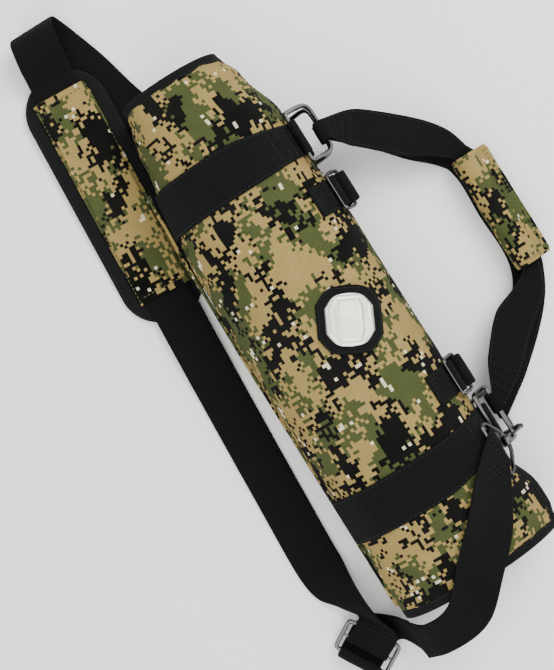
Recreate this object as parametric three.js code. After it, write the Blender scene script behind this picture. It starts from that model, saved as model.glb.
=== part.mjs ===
// Padded canvas stick bag: two curved halves that open like a book about a cloth fold,
// with webbing bands, a double handle, closing straps and a padded shoulder strap.
// Millimetres, +Z up. The bag lies on its rear half, with +X along the bag and +Y towards
// the opening edge and the handle. The origin is on the rear cover's flat underside.
import * as THREE from 'three';
import { mergeVertices } from 'three/addons/utils/BufferGeometryUtils.js';

// ---------------------------------------------------------------- driving dimensions
const HALF_LENGTH = 226;
const SEAM_Z = 40;
const GAP = 0.3;
const WALL = 5;
const FRONT_POWER = 2.1;
const REAR_POWER = 2.6;
const ARC_STEPS = 16;
const BOTTOM_CROWN = 2;

// Plan and side outlines of the stuffed bag, as [x, value] pairs.
const OPENING_EDGE = [
  [-226, 40], [-200, 50], [-160, 61], [-110, 62], [-80, 65], [130, 66], [206, 69], [226, 64]];
const SPINE_EDGE = [[-226, -44], [-180, -52], [-140, -58], [-93, -62.5], [0, -65.5], [226, -65.5]];
const FRONT_RISE = [[-226, 34], [-160, 48.5], [-110, 49.5], [-80, 50], [150, 50], [200, 43], [226, 36]];
const UNDERSIDE = [[-226, 16], [-206, 14], [-188, 10], [-166, 0], [170, 0], [226, 4]];

// Cloth fold along the spine side, which is the hinge of the two halves.
const FOLD = { y: -66.5, z: SEAM_Z, radius: 2.4, from: -160, to: 214, clearance: 3.2 };

const BINDING = { width: 8, thickness: 6 };
const LINING = { thickness: 1.5, inset: WALL + 2.5, steps: 10 };
const BAND = {
  width: 38, thickness: 2, at: [-136.5, 136.5], loopWidth: 28, loopRadius: 3.8, loopTurn: 4.2,
};
const BAND_LIFT = 0.5;
const GROOVE = { depth: 2.5, chamfer: 0.4 };
const RING_WIRE = 2;
const D_RING = { depth: 22, foot: 3 };

// One ring at the opening end of each band: its band, its middle, the height of the band's
// loop away from the seam, and the direction in Y and Z in which the ring lies.
const FRONT_RINGS = [
  { name: 'upper', band: -136.5, x: -134, width: 42, corner: 8, height: 24, slope: [0.902, -0.432] },
  { name: 'lower', band: 136.5, x: 128, width: 46, corner: 4, height: 12, slope: [0.605, -0.796] },
];
const REAR_RINGS = [
  { name: 'upper', band: -136.5, x: -134, width: 40, corner: 8, height: 14, slope: [0.78, 0.626] },
  { name: 'lower', band: 136.5, x: 131.5, width: 40, corner: 8, height: 14, slope: [0.9, -0.436] },
];

const HANDLE = { eyeHalf: 8, thickness: 2, eyeRadius: 4.4, eyeFrom: -60, eyeTo: -270 };
const GRIP = {
  from: -57, to: 43, y: 167, z: 19.5, halfWidth: 11.5, halfHeight: 11, wall: 2.5, fin: 9, finHalf: 1.6,
};

const CLOSURE = {
  at: [-83.5, 83.5], width: 25, tabTop: 42, loopHeight: 24, ringWidth: 31, ringDepth: 15, wire: 1.5,
  ringSlope: [0.6, -0.8], patchLift: 1.5,
};
const BADGE = { x: 4, y: 18, turnDegrees: 27, length: 53, width: 50, plateLength: 40, plateWidth: 37 };
const POCKETS = { at: [-12.5, 12.5], width: 24, height: 18, from: -135, to: 140, sheet: 1.5 };

const STRAP = { width: 38, thickness: 2 };
const FLOOR = 1.4;

// Half the strap's width, and its X, where it is cut at the line of the fold.
const FOLD_CUT = { x: 245, half: [16, 0, 1.5], clearance: 3.5 };

// Loop that the strap's hidden upper end goes round, under the rear half's raised end.
const ANCHOR = { x: -190, y: -24, ringWidth: 42, ringDepth: 16, wire: 1.7, height: 6, eyeRadius: 3.6 };
const ANCHOR_TAB = { half: 15, radius: 2.8, thickness: 1.2, tongue: 9, turns: 8 };

// The pad lies with its far end on the strap's return run, so it rises a little towards -X.
const PAD = {
  from: -287, to: -72, halfWidth: 35, thickness: 5, turn: -0.0607, rise: -0.0175, middle: [-180, -85.5],
};
const SLEEVE = { from: -272, to: -91, halfWidth: 23.5, thickness: 1.6, clear: 3.2 };
const SLIDER = {
  middle: [236, -105, 9.5], along: [0.865, 0.5, 0], length: 46, width: 24, bar: 1.8, centreBar: 1.3,
};

// Swivel hook: the direction of its shank in Y and Z, and of its strap loop.
const HOOK = {
  fromRing: 18.2, shank: [0.35, -0.937], loop: [-0.72, 0.69], loopLength: 16, capture: 30.8, wire: 2.2,
  loopWire: 1.7, gateWire: 1.4,
};

const COLOURS = {
  canvas: 0x8c7d55, black: 0x17181a, lining: 0x2a2c2e, metal: 0x9a9a98, plate: 0xd8d5cc,
};

// ---------------------------------------------------------------- mesh helpers
const bag = new THREE.Group();
const vec = (x, y, z) => new THREE.Vector3(x, y, z);

function signedVolume(geometry) {
  const position = geometry.attributes.position;
  const index = geometry.index.array;
  const corner = [vec(0, 0, 0), vec(0, 0, 0), vec(0, 0, 0)];
  let volume = 0;
  for (let i = 0; i < index.length; i += 3) {
    corner.forEach((point, k) => point.fromBufferAttribute(position, index[i + k]));
    volume += corner[0].dot(corner[1].clone().cross(corner[2])) / 6;
  }
  return volume;
}

// Merges shared corners and turns the faces outwards.
function closed(geometry) {
  geometry.deleteAttribute('normal');
  geometry.deleteAttribute('uv');
  const merged = mergeVertices(geometry, 1e-4);
  if (signedVolume(merged) < 0) {
    const index = merged.index.array;
    for (let i = 0; i < index.length; i += 3) {
      [index[i], index[i + 1]] = [index[i + 1], index[i]];
    }
  }
  merged.computeVertexNormals();
  return merged;
}

function fromQuads(points, quads) {
  const geometry = new THREE.BufferGeometry();
  const triangles = quads.flatMap(([a, b, c, d]) => [a, b, c, a, c, d]);
  const positions = points.flatMap(({ x, y, z }) => [x, y, z]);
  geometry.setAttribute('position', new THREE.Float32BufferAttribute(positions, 3));
  geometry.setIndex(triangles);
  return closed(geometry);
}

// Closed solid between two grids of points that face each other.
function slab(outer, inner) {
  const rows = outer.length;
  const columns = outer[0].length;
  const last = columns - 1;
  const points = [...outer.flat(), ...inner.flat()];
  const top = (i, j) => i * columns + j;
  const under = (i, j) => rows * columns + top(i, j);
  const quads = [];
  for (let i = 0; i < rows - 1; i += 1) {
    for (let j = 0; j < columns - 1; j += 1) {
      quads.push([top(i, j), top(i + 1, j), top(i + 1, j + 1), top(i, j + 1)]);
      quads.push([under(i, j), under(i, j + 1), under(i + 1, j + 1), under(i + 1, j)]);
    }
    quads.push([top(i, 0), under(i, 0), under(i + 1, 0), top(i + 1, 0)]);
    quads.push([top(i + 1, last), under(i + 1, last), under(i, last), top(i, last)]);
  }
  for (let j = 0; j < columns - 1; j += 1) {
    quads.push([top(0, j + 1), under(0, j + 1), under(0, j), top(0, j)]);
    quads.push([top(rows - 1, j), under(rows - 1, j), under(rows - 1, j + 1), top(rows - 1, j + 1)]);
  }
  return fromQuads(points, quads);
}

// Gives a mid-surface, as a grid of points, its thickness.
function thicken(grid, thickness) {
  const last = grid.length - 1;
  const edge = grid[0].length - 1;
  const normals = grid.map((row, i) => row.map((point, j) => {
    const along = grid[Math.min(i + 1, last)][j].clone().sub(grid[Math.max(i - 1, 0)][j]);
    const across = grid[i][Math.min(j + 1, edge)].clone().sub(grid[i][Math.max(j - 1, 0)]);
    return along.cross(across).normalize();
  }));
  const shifted = (side) => grid.map((row, i) => row.map((point, j) => (
    point.clone().addScaledVector(normals[i][j], side * thickness / 2))));
  return slab(shifted(1), shifted(-1));
}

// Flat webbing through a list of [middle, half-width] pairs.
function ribbon(stations, thickness) {
  return thicken(stations.map(([middle, half]) => [
    middle.clone().sub(half), middle.clone().add(half)]), thickness);
}

// Smooth stations between control pairs of [middle, half-width].
function smoothStations(controls, steps) {
  const middles = new THREE.CatmullRomCurve3(controls.map(([middle]) => vec(...middle)));
  const halves = new THREE.CatmullRomCurve3(controls.map(([, half]) => vec(...half)));
  return Array.from({ length: steps + 1 }, (_, i) => [
    middles.getPoint(i / steps), halves.getPoint(i / steps)]);
}

// Closed round wire along a flat outline of [x, y] points.
function wireLoop(outline, radius, sides = 6) {
  const count = outline.length;
  const points = [];
  outline.forEach(([x, y], i) => {
    const [ax, ay] = outline[(i + count - 1) % count];
    const [bx, by] = outline[(i + 1) % count];
    const out = new THREE.Vector2(by - ay, ax - bx).normalize();
    for (let k = 0; k < sides; k += 1) {
      const angle = 2 * Math.PI * k / sides;
      const reach = radius * Math.cos(angle);
      points.push(vec(x + out.x * reach, y + out.y * reach, radius * Math.sin(angle)));
    }
  });
  const quads = [];
  for (let i = 0; i < count; i += 1) {
    const next = (i + 1) % count;
    for (let k = 0; k < sides; k += 1) {
      const turn = (k + 1) % sides;
      quads.push([i * sides + k, next * sides + k, next * sides + turn, i * sides + turn]);
    }
  }
  return fromQuads(points, quads);
}

// Round wire with flat ends along a curve of points.
function wire(points, radius, steps, sides = 6) {
  const section = new THREE.Shape(Array.from({ length: sides }, (_, k) => new THREE.Vector2(
    radius * Math.cos(2 * Math.PI * k / sides), radius * Math.sin(2 * Math.PI * k / sides))));
  const path = new THREE.CatmullRomCurve3(points);
  return closed(new THREE.ExtrudeGeometry(section, { steps, bevelEnabled: false, extrudePath: path }));
}

function onBasis(geometry, origin, xAxis, yAxis) {
  const x = xAxis.clone().normalize();
  const z = x.clone().cross(yAxis).normalize();
  const matrix = new THREE.Matrix4().makeBasis(x, z.clone().cross(x), z);
  geometry.applyMatrix4(matrix.setPosition(origin));
  return geometry;
}

function add(name, geometry, colour, metalness = 0, roughness = 0.85) {
  const material = new THREE.MeshStandardMaterial({ color: colour, metalness, roughness });
  const mesh = new THREE.Mesh(geometry, material);
  mesh.name = name;
  bag.add(mesh);
  return mesh;
}

const addMetal = (name, geometry) => add(name, geometry, COLOURS.metal, 1, 0.3);

// ---------------------------------------------------------------- outline of the bag
// Eased value of an [x, value] table.
function profile(table, x) {
  const clamped = THREE.MathUtils.clamp(x, table[0][0], table[table.length - 1][0]);
  const i = Math.max(1, table.findIndex(([at]) => at >= clamped));
  const [x0, y0] = table[i - 1];
  const [x1, y1] = table[i];
  return THREE.MathUtils.lerp(y0, y1, THREE.MathUtils.smoothstep(clamped, x0, x1));
}

function sectionOf(x, inset) {
  const right = profile(OPENING_EDGE, x);
  const left = profile(SPINE_EDGE, x);
  return { middle: (right + left) / 2, half: (right - left) / 2 - inset };
}

const power = (value, exponent) => Math.sign(value) * Math.abs(value) ** exponent;
const frontRise = (x) => profile(FRONT_RISE, x);
const rearDrop = (x) => SEAM_Z - profile(UNDERSIDE, x) + BOTTOM_CROWN;

// Points of the two halves' sections: angle 0 is the spine edge and PI the opening edge.
function frontPoint(x, angle, inset) {
  const { middle, half } = sectionOf(x, inset);
  const y = middle - half * power(Math.cos(angle), 2 / FRONT_POWER);
  return vec(x, y, SEAM_Z + (frontRise(x) - inset) * power(Math.sin(angle), 2 / FRONT_POWER));
}

function rearPoint(x, angle, inset) {
  const { middle, half } = sectionOf(x, inset);
  const y = middle - half * power(Math.cos(angle), 2 / REAR_POWER);
  const z = SEAM_Z - (rearDrop(x) - inset) * power(Math.sin(angle), 2 / REAR_POWER);
  return vec(x, y, Math.max(z, profile(UNDERSIDE, x) + inset));
}

// Angle at which a section of this depth is the given height away from the seam.
const edgeAngle = (height, depth, exponent) => Math.asin((height / depth) ** (exponent / 2));

function frontArc(x, inset, fromHeight, toHeight, steps = ARC_STEPS) {
  const depth = frontRise(x) - inset;
  const from = edgeAngle(fromHeight, depth, FRONT_POWER);
  const to = Math.PI - edgeAngle(toHeight, depth, FRONT_POWER);
  return Array.from({ length: steps + 1 }, (_, i) => (
    frontPoint(x, THREE.MathUtils.lerp(from, to, i / steps), inset)));
}

function rearArc(x, inset, fromDepth, toDepth, steps = ARC_STEPS) {
  const depth = rearDrop(x) - inset;
  const from = edgeAngle(fromDepth, depth, REAR_POWER);
  const to = Math.PI - edgeAngle(toDepth, depth, REAR_POWER);
  return Array.from({ length: steps + 1 }, (_, i) => (
    rearPoint(x, THREE.MathUtils.lerp(from, to, i / steps), inset)));
}

// Point of the front cover's outside above (x, y), raised by a lift.
function onFront(x, y, lift) {
  const { middle, half } = sectionOf(x, -lift);
  const reach = Math.min(1, Math.abs((y - middle) / half));
  const rise = (frontRise(x) + lift) * (1 - reach ** FRONT_POWER) ** (1 / FRONT_POWER);
  return vec(x, y, SEAM_Z + rise);
}

// ---------------------------------------------------------------- covers, linings, binding
const COVER_END = HALF_LENGTH - BINDING.width - GAP;
const EDGE_HEIGHT = BINDING.width + 2 * GAP;

const groove = BAND.at.flatMap((x) => {
  const half = BAND.width / 2 + GAP;
  return [x - half - GROOVE.chamfer, x - half, x + half, x + half + GROOVE.chamfer];
});

function frontCover() {
  const stations = [
    -COVER_END, -200, -180, -156, -132, -110, -75, -35, 0, 35, 75, 110, 150, 180, 200, COVER_END];
  const arc = (inset) => stations.map((x) => frontArc(x, inset, FOLD.clearance, EDGE_HEIGHT));
  return slab(arc(0), arc(WALL));
}

// The rear cover is let in where each webbing band crosses it, so that it lies flat.
function rearCover() {
  const plain = [-COVER_END, -200, -180, -166, -75, -35, 0, 35, 75, 163, 170, 200, COVER_END];
  const stations = [...plain, ...groove].sort((a, b) => a - b);
  const grooveHalf = BAND.width / 2 + GAP + GROOVE.chamfer / 2;
  const inGroove = (x) => BAND.at.some((at) => Math.abs(x - at) < grooveHalf);
  const outer = stations.map((x) => (
    rearArc(x, inGroove(x) ? GROOVE.depth : 0, FOLD.clearance, EDGE_HEIGHT)));
  return slab(outer, stations.map((x) => rearArc(x, WALL, FOLD.clearance, EDGE_HEIGHT)));
}

function lining(arc) {
  const stations = [-COVER_END, -200, -180, -160, -110, 0, 110, 160, 200, COVER_END];
  const layer = (inset) => stations.map((x) => arc(x, inset, EDGE_HEIGHT, EDGE_HEIGHT, LINING.steps));
  return slab(layer(LINING.inset), layer(LINING.inset + LINING.thickness));
}

// Edge binding: up one end, along the opening edge and back over the other end.
function binding(arc, side) {
  const middle = WALL / 2;
  const end = (x) => {
    const points = arc(x, middle, FOLD.clearance + 3, EDGE_HEIGHT, 10);
    return points.map((point, i) => {
      const before = points[Math.max(i - 1, 0)];
      const after = points[Math.min(i + 1, points.length - 1)];
      const along = after.clone().sub(before).normalize();
      return { point, out: vec(Math.sign(x), 0, 0), normal: vec(0, -along.z, along.y) };
    });
  };
  const first = end(-COVER_END - GAP);
  const last = end(COVER_END + GAP).reverse();
  const down = vec(0, 0, -side);
  const level = vec(0, side, 0);
  [first[first.length - 1], last[0]].forEach((corner) => {
    corner.out.add(down);
    corner.normal.copy(level);
  });
  const edge = [-200, -170, -132, -90, -40, 20, 80, 130, 170, 206].map((x) => {
    const point = arc(x, middle, FOLD.clearance, EDGE_HEIGHT, 1)[1];
    return { point, out: down, normal: level };
  });
  const frames = [...first, ...edge, ...last];
  const layer = (shift) => frames.map(({ point, out, normal }) => {
    const base = point.clone().addScaledVector(normal, shift);
    return [base, base.clone().addScaledVector(out, BINDING.width)];
  });
  return slab(layer(BINDING.thickness / 2), layer(-BINDING.thickness / 2));
}

function spineFold() {
  const geometry = new THREE.CylinderGeometry(FOLD.radius, FOLD.radius, FOLD.to - FOLD.from, 12);
  geometry.rotateZ(Math.PI / 2);
  geometry.translate((FOLD.from + FOLD.to) / 2, FOLD.y, FOLD.z);
  return closed(geometry);
}

// ---------------------------------------------------------------- bands, rings and loops
// Points from the end of a path round a bar that stands off it on the outward side.
function curl(end, along, outward, radius, turn, steps) {
  const centre = end.clone().addScaledVector(outward, radius);
  const points = Array.from({ length: steps }, (_, i) => {
    const angle = turn * (i + 1) / steps;
    return centre.clone()
      .addScaledVector(outward, -radius * Math.cos(angle))
      .addScaledVector(along, radius * Math.sin(angle));
  });
  return { centre, points };
}

// Webbing loop round a bar, as stations that leave the loop along `leave` on its `side`.
function eye(bar, leave, side, half, radius = HANDLE.eyeRadius, steps = 8) {
  return Array.from({ length: steps + 1 }, (_, i) => {
    const degrees = THREE.MathUtils.lerp(HANDLE.eyeFrom, HANDLE.eyeTo, i / steps);
    const angle = THREE.MathUtils.degToRad(degrees);
    const middle = bar.clone()
      .addScaledVector(leave, radius * Math.cos(angle))
      .addScaledVector(side, radius * Math.sin(angle));
    return [middle, half.clone()];
  });
}

// Path of a band over one half, and the bar that its looped end holds.
function bandPath(arc, side, inset, ring) {
  const points = arc(ring.band, inset, FOLD.clearance + 1, ring.height, 18);
  const end = points[points.length - 1];
  const along = end.clone().sub(points[points.length - 2]).setX(0).normalize();
  const outward = vec(0, -along.z, along.y).multiplyScalar(side);
  const loop = curl(end, along, outward, BAND.loopRadius, BAND.loopTurn, 10);
  return { count: points.length, bar: loop.centre.setX(ring.x), loop: loop.points };
}

function band(arc, side, inset, ring) {
  const path = bandPath(arc, side, inset, ring);
  const sides = [-1, 1];
  const edges = sides.map((edge) => {
    const x = ring.band + edge * BAND.width / 2;
    return arc(x, inset, FOLD.clearance + 1, ring.height, path.count - 1);
  });
  const over = edges[0].map((_, i) => {
    const eased = THREE.MathUtils.smoothstep(i, path.count * 0.55, path.count - 1);
    const middle = THREE.MathUtils.lerp(ring.band, ring.x, eased);
    const half = THREE.MathUtils.lerp(BAND.width, BAND.loopWidth, eased) / 2;
    return sides.map((edge, k) => edges[k][i].clone().setX(middle + edge * half));
  });
  const round = path.loop.map((point) => sides.map((edge) => (
    point.clone().setX(ring.x + edge * BAND.loopWidth / 2))));
  return thicken([...over, ...round], BAND.thickness);
}

function dOutline({ width, corner }, depth = D_RING.depth) {
  const half = width / 2;
  const foot = D_RING.foot;
  const path = new THREE.Path();
  path.moveTo(foot - half, 0);
  path.lineTo(half - foot, 0);
  path.quadraticCurveTo(half, 0, half, foot);
  path.lineTo(half, depth - corner);
  path.quadraticCurveTo(half, depth, half - corner, depth);
  path.lineTo(corner - half, depth);
  path.quadraticCurveTo(-half, depth, -half, depth - corner);
  path.lineTo(-half, foot);
  path.quadraticCurveTo(-half, 0, foot - half, 0);
  return path.getPoints(3).slice(0, -1).map(({ x, y }) => [x, y]);
}

// A half's bands and rings; returns the outer bar of each ring, which a handle hangs on.
function addBands(half, arc, side, inset, rings) {
  return rings.map((ring) => {
    const { bar } = bandPath(arc, side, inset, ring);
    const slope = vec(0, ...ring.slope);
    add(`${half}_band_${ring.name}`, band(arc, side, inset, ring), COLOURS.black);
    addMetal(`${half}_d_ring_${ring.name}`, onBasis(
      wireLoop(dOutline(ring), RING_WIRE), bar, vec(1, 0, 0), slope));
    return bar.clone().addScaledVector(slope, D_RING.depth);
  });
}

// ---------------------------------------------------------------- handle
const LEAN = { leave: vec(0, 0.94, -0.342), side: vec(0, 0.342, 0.94) };

function handleStrap(bars, eyeShift, controls) {
  const from = bars[0].clone().add(vec(eyeShift[0], 0, 0));
  const to = bars[1].clone().add(vec(eyeShift[1], 0, 0));
  const start = eye(from, LEAN.leave, LEAN.side, vec(HANDLE.eyeHalf, 0, 0));
  const end = eye(to, LEAN.leave, LEAN.side, vec(-HANDLE.eyeHalf, 0, 0)).reverse();
  const joins = [start[start.length - 1], end[0]].map((station) => station.map((v) => v.toArray()));
  const run = smoothStations([joins[0], ...controls, joins[1]], 30);
  return ribbon([...start, ...run.slice(1, -1), ...end], HANDLE.thickness);
}

// Canvas wrap round the strap, with its two joined edges standing out as a fin.
function gripWrap() {
  const ellipse = (halfWidth, halfHeight) => {
    const outline = new THREE.Path();
    outline.absellipse(0, 0, halfWidth, halfHeight, 0, 2 * Math.PI, false, 0);
    return outline.getPoints(9).slice(0, -1);
  };
  const round = ellipse(GRIP.halfWidth, GRIP.halfHeight).slice(1);
  const tip = GRIP.halfWidth + GRIP.fin;
  const root = GRIP.halfWidth - 0.4;
  const fin = [[root, -GRIP.finHalf], [tip, -GRIP.finHalf], [tip, GRIP.finHalf], [root, GRIP.finHalf]];
  const section = new THREE.Shape([...round, ...fin.map(([x, y]) => new THREE.Vector2(x, y))]);
  section.holes.push(new THREE.Path(
    ellipse(GRIP.halfWidth - GRIP.wall, GRIP.halfHeight - GRIP.wall)));
  const depth = GRIP.to - GRIP.from;
  const geometry = closed(new THREE.ExtrudeGeometry(section, { depth, steps: 1, bevelEnabled: false }));
  geometry.applyMatrix4(new THREE.Matrix4().makeBasis(vec(0, 1, 0), vec(0, 0, 1), vec(1, 0, 0)));
  geometry.translate(GRIP.from, GRIP.y, GRIP.z);
  return geometry;
}

function addHandles(frontBars, rearBars) {
  add('front_handle_strap', handleStrap(frontBars, [4, -8], [
    [[-120, 101, 51], [12, -8, 0]],
    [[-94, 134, 36], [12, -10, 0]],
    [[-74, 158, 25], [7, -9, 0]],
    [[-58, GRIP.y, GRIP.z], [0, -7.5, 0]],
    [[-45, GRIP.y, GRIP.z], [0, -7.5, 0]],
    [[-8, GRIP.y, GRIP.z], [0, -7.5, 0]],
    [[30, GRIP.y, GRIP.z], [0, -7.5, 0]],
    [[44, GRIP.y, GRIP.z], [0, -7.5, 0]],
    [[60, 155, 23], [-8, -9, 0]],
    [[74, 131, 30], [-12, -10, 0]],
    [[98, 106, 38], [-11, -9, 0]],
  ]), COLOURS.black);
  add('rear_handle_strap', handleStrap(rearBars, [4, -3], [
    [[-120, 106, 34], [12, -8, 0]],
    [[-92, 137, 18], [12, -10, 0]],
    [[-68, 160, 5], [8, -10, 0]],
    [[-48, 170, 1.6], [0, -14, 0]],
    [[-10, 170, 1.6], [0, -14, 0]],
    [[34, 170, 1.6], [0, -14, 0]],
    [[62, 158, 2.4], [-6, -12, 0]],
    [[86, 132, 8], [-12, -10, 0]],
    [[106, 110, 15], [-11, -8, 0]],
  ]), COLOURS.black);
  add('grip_wrap', gripWrap(), COLOURS.canvas);
}

// ---------------------------------------------------------------- closures
// Point of the rear half's opening side at a depth below the seam, raised by a lift.
function rearFlank(x, depth, lift) {
  return rearPoint(x, Math.PI - edgeAngle(depth, rearDrop(x) + lift, REAR_POWER), -lift);
}

const frontAngle = (x, y) => {
  const { middle, half } = sectionOf(x, 0);
  return Math.PI - Math.acos(((y - middle) / half) ** (FRONT_POWER / 2));
};

function addClosure(x, number) {
  const xs = [x - CLOSURE.width / 2, x + CLOSURE.width / 2];
  const lift = BAND_LIFT + BAND.thickness / 2;
  const to = Math.PI - edgeAngle(CLOSURE.loopHeight, frontRise(x), FRONT_POWER);
  const from = frontAngle(x, CLOSURE.tabTop);
  const surface = Array.from({ length: 7 }, (_, i) => (
    frontPoint(x, THREE.MathUtils.lerp(from, to, i / 6), -lift)));
  const end = surface[6];
  const along = end.clone().sub(surface[5]).normalize();
  const outward = vec(0, -along.z, along.y);
  const loop = curl(end, along, outward, BAND.loopRadius, BAND.loopTurn, 8);
  const tab = [...surface, ...loop.points].map((point) => xs.map((edge) => point.clone().setX(edge)));
  add(`closure_tab_${number}`, thicken(tab, BAND.thickness), COLOURS.black);

  const slope = vec(0, ...CLOSURE.ringSlope);
  const ring = dOutline({ width: CLOSURE.ringWidth, corner: 3 }, CLOSURE.ringDepth);
  addMetal(`closure_ring_${number}`, onBasis(
    wireLoop(ring, CLOSURE.wire), loop.centre, vec(1, 0, 0), slope));

  const bar = loop.centre.clone().addScaledVector(slope, CLOSURE.ringDepth);
  const half = vec(CLOSURE.width / 2, 0, 0);
  const lieOn = CLOSURE.patchLift + 2 * GAP + BAND.thickness / 2;
  const hang = [
    vec(x, bar.y + HANDLE.eyeRadius - 1, 46),
    vec(x, 70, 36),
    rearFlank(x, 15, lieOn),
    rearFlank(x, 23, lieOn),
  ];
  const stations = eye(bar, vec(0, 0, -1), vec(0, 1, 0), half);
  hang.forEach((point) => stations.push([point, half.clone()]));
  add(`closing_strap_${number}`, ribbon(stations, BAND.thickness), COLOURS.black);

  const patch = (top) => [xs[0] - 1, xs[1] + 1].map((edge) => (
    [26, 22, 18, 14, 11].map((depth) => rearFlank(edge, depth, top))));
  add(`closure_patch_${number}`, slab(
    patch(CLOSURE.patchLift), patch(CLOSURE.patchLift - 1)), COLOURS.black);
}

// ---------------------------------------------------------------- badge and pockets
// Six-sided plate that follows the front cover between two lifts.
function frontPlate(length, width, lowLift, highLift) {
  const steps = 6;
  const turn = THREE.MathUtils.degToRad(BADGE.turnDegrees);
  const layer = (lift) => Array.from({ length: steps + 1 }, (_, i) => {
    const u = 2 * i / steps - 1;
    const half = width / 2 * Math.min(1, 1.35 - 0.75 * Math.abs(u));
    return Array.from({ length: steps + 1 }, (__, j) => {
      const v = (2 * j / steps - 1) * half;
      const along = u * length / 2;
      const x = BADGE.x + along * Math.cos(turn) + v * Math.sin(turn);
      const y = BADGE.y - along * Math.sin(turn) + v * Math.cos(turn);
      return onFront(x, y, lift);
    });
  });
  return slab(layer(highLift), layer(lowLift));
}

function stickPocket(y) {
  const foot = 3;
  const floor = LINING.inset + LINING.thickness + 1 + POCKETS.sheet / 2;
  const top = floor + POCKETS.height;
  const half = POCKETS.width / 2 - POCKETS.sheet;
  const section = [[-half, floor], [foot - half, floor], [foot - half, top - 3], [foot - half + 3, top],
    [half - foot - 3, top], [half - foot, top - 3], [half - foot, floor], [half, floor]];
  const sheet = [POCKETS.from, POCKETS.to].map((x) => section.map(([across, z]) => vec(x, y + across, z)));
  return thicken(sheet, POCKETS.sheet);
}

// ---------------------------------------------------------------- shoulder strap
const OVER_PAD = PAD.thickness + GAP + 0.5 + STRAP.thickness / 2;

const padDirection = vec(1, PAD.turn, 0).normalize();
const padAcross = vec(-padDirection.y, padDirection.x, 0);
const padPoint = (x, across, z) => vec(
  x + across * padAcross.x,
  PAD.middle[1] + (x - PAD.middle[0]) * PAD.turn + across * padAcross.y,
  z + (x - PAD.to) * PAD.rise);

function anchorRing() {
  const outline = dOutline({ width: ANCHOR.ringWidth, corner: 5 }, ANCHOR.ringDepth);
  const middle = vec(ANCHOR.x, ANCHOR.y, ANCHOR.height);
  return onBasis(wireLoop(outline, ANCHOR.wire), middle, vec(0, 1, 0), vec(-1, 0, 0));
}

// Tab under the rear cover's raised end, with a loop round the anchor ring's bar.
function anchorTab() {
  const { half, radius, thickness, tongue, turns } = ANCHOR_TAB;
  const angles = Array.from({ length: turns + 1 }, (_, i) => Math.PI * (0.5 - 1.3 * i / turns));
  const round = angles.map((angle) => [
    ANCHOR.x + radius * Math.cos(angle), ANCHOR.height + radius * Math.sin(angle)]);
  const path = [[ANCHOR.x - tongue, ANCHOR.height + radius], ...round];
  return thicken(path.map(([x, z]) => [-half, half].map((side) => vec(x, ANCHOR.y + side, z))), thickness);
}

const sliderAlong = vec(...SLIDER.along).normalize();
const sliderAcross = vec(-sliderAlong.y, sliderAlong.x, 0);
const sliderHalf = sliderAlong.clone().multiplyScalar(STRAP.width / 2 - 1);
const sliderPoint = (across) => vec(...SLIDER.middle).addScaledVector(sliderAcross, across);

// Lifts stations so that the strap's lower edge stays off the ground.
const offGround = (stations) => stations.map(([middle, half]) => [
  middle.setZ(Math.max(middle.z, FLOOR + Math.abs(half.z))), half]);

function shoulderStrap() {
  const half = STRAP.width / 2;
  const bar = vec(ANCHOR.x - ANCHOR.ringDepth, ANCHOR.y, ANCHOR.height);
  const flat = [0, half, 0];
  const loop = eye(bar, vec(-1, 0, 0), vec(0, 0, -1), vec(0, half - 2, 0), ANCHOR.eyeRadius);
  const level = (x) => {
    return [padPoint(x, 0, OVER_PAD).toArray(), flat];
  };
  const slider = eye(sliderPoint(0), sliderAcross, vec(0, 0, 1), sliderHalf, 2.8);
  const run = smoothStations([
    loop[loop.length - 1].map((v) => v.toArray()),
    [[-222, -34, FLOOR], flat],
    [[-245, -43, FLOOR], flat],
    [[-280, -52, FLOOR], flat],
    [[-304, -60, 3], flat],
    [[-319, -66, 9], flat],
    [[-325, -70, 18], flat],
    [[-320, -73, 27], flat],
    [[-309, -75, 29], flat],
    [[-299, -77, 23], flat],
    [[-292, -78, 15], flat],
    level(-282), level(-272), level(-180), level(-91), level(-72), level(-45),
    [[-20, -95.2, 4.5], flat],
    [[5, -96.7, FLOOR], flat],
    [[90, -101, FLOOR], flat],
    [[160, -104, 2.5], [1, 19, 1]],
    [[188, -103, 10], [4, 16, 8]],
    [[207, -96, 18], [9, 11, 11]],
    [[225, -89, 17], [14, 9, 4]],
    slider[slider.length - 1].map((v) => v.toArray()),
  ], 76);
  return [...loop, ...offGround(run.slice(1, -1)), ...slider.reverse()];
}

// From the slider, under its frame and up to the line of the spine fold.
function lowerRun() {
  const loop = eye(sliderPoint(-SLIDER.width / 2), sliderAcross, vec(0, 0, -1), sliderHalf, 5);
  const run = smoothStations([
    loop[loop.length - 1].map((v) => v.toArray()),
    [[236, -105, 4.5], [15.6, 9, 0]],
    [[231, -95, 4.5], [15.6, 9, 0]],
    [[230, -85, 7], [15, 7, 4]],
    [[239, -72, 22], [16, 3, 3]],
    [[FOLD_CUT.x, FOLD.y, FOLD.z - FOLD_CUT.clearance], FOLD_CUT.half],
  ], 24);
  return [...loop, ...run.slice(1)];
}

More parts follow.
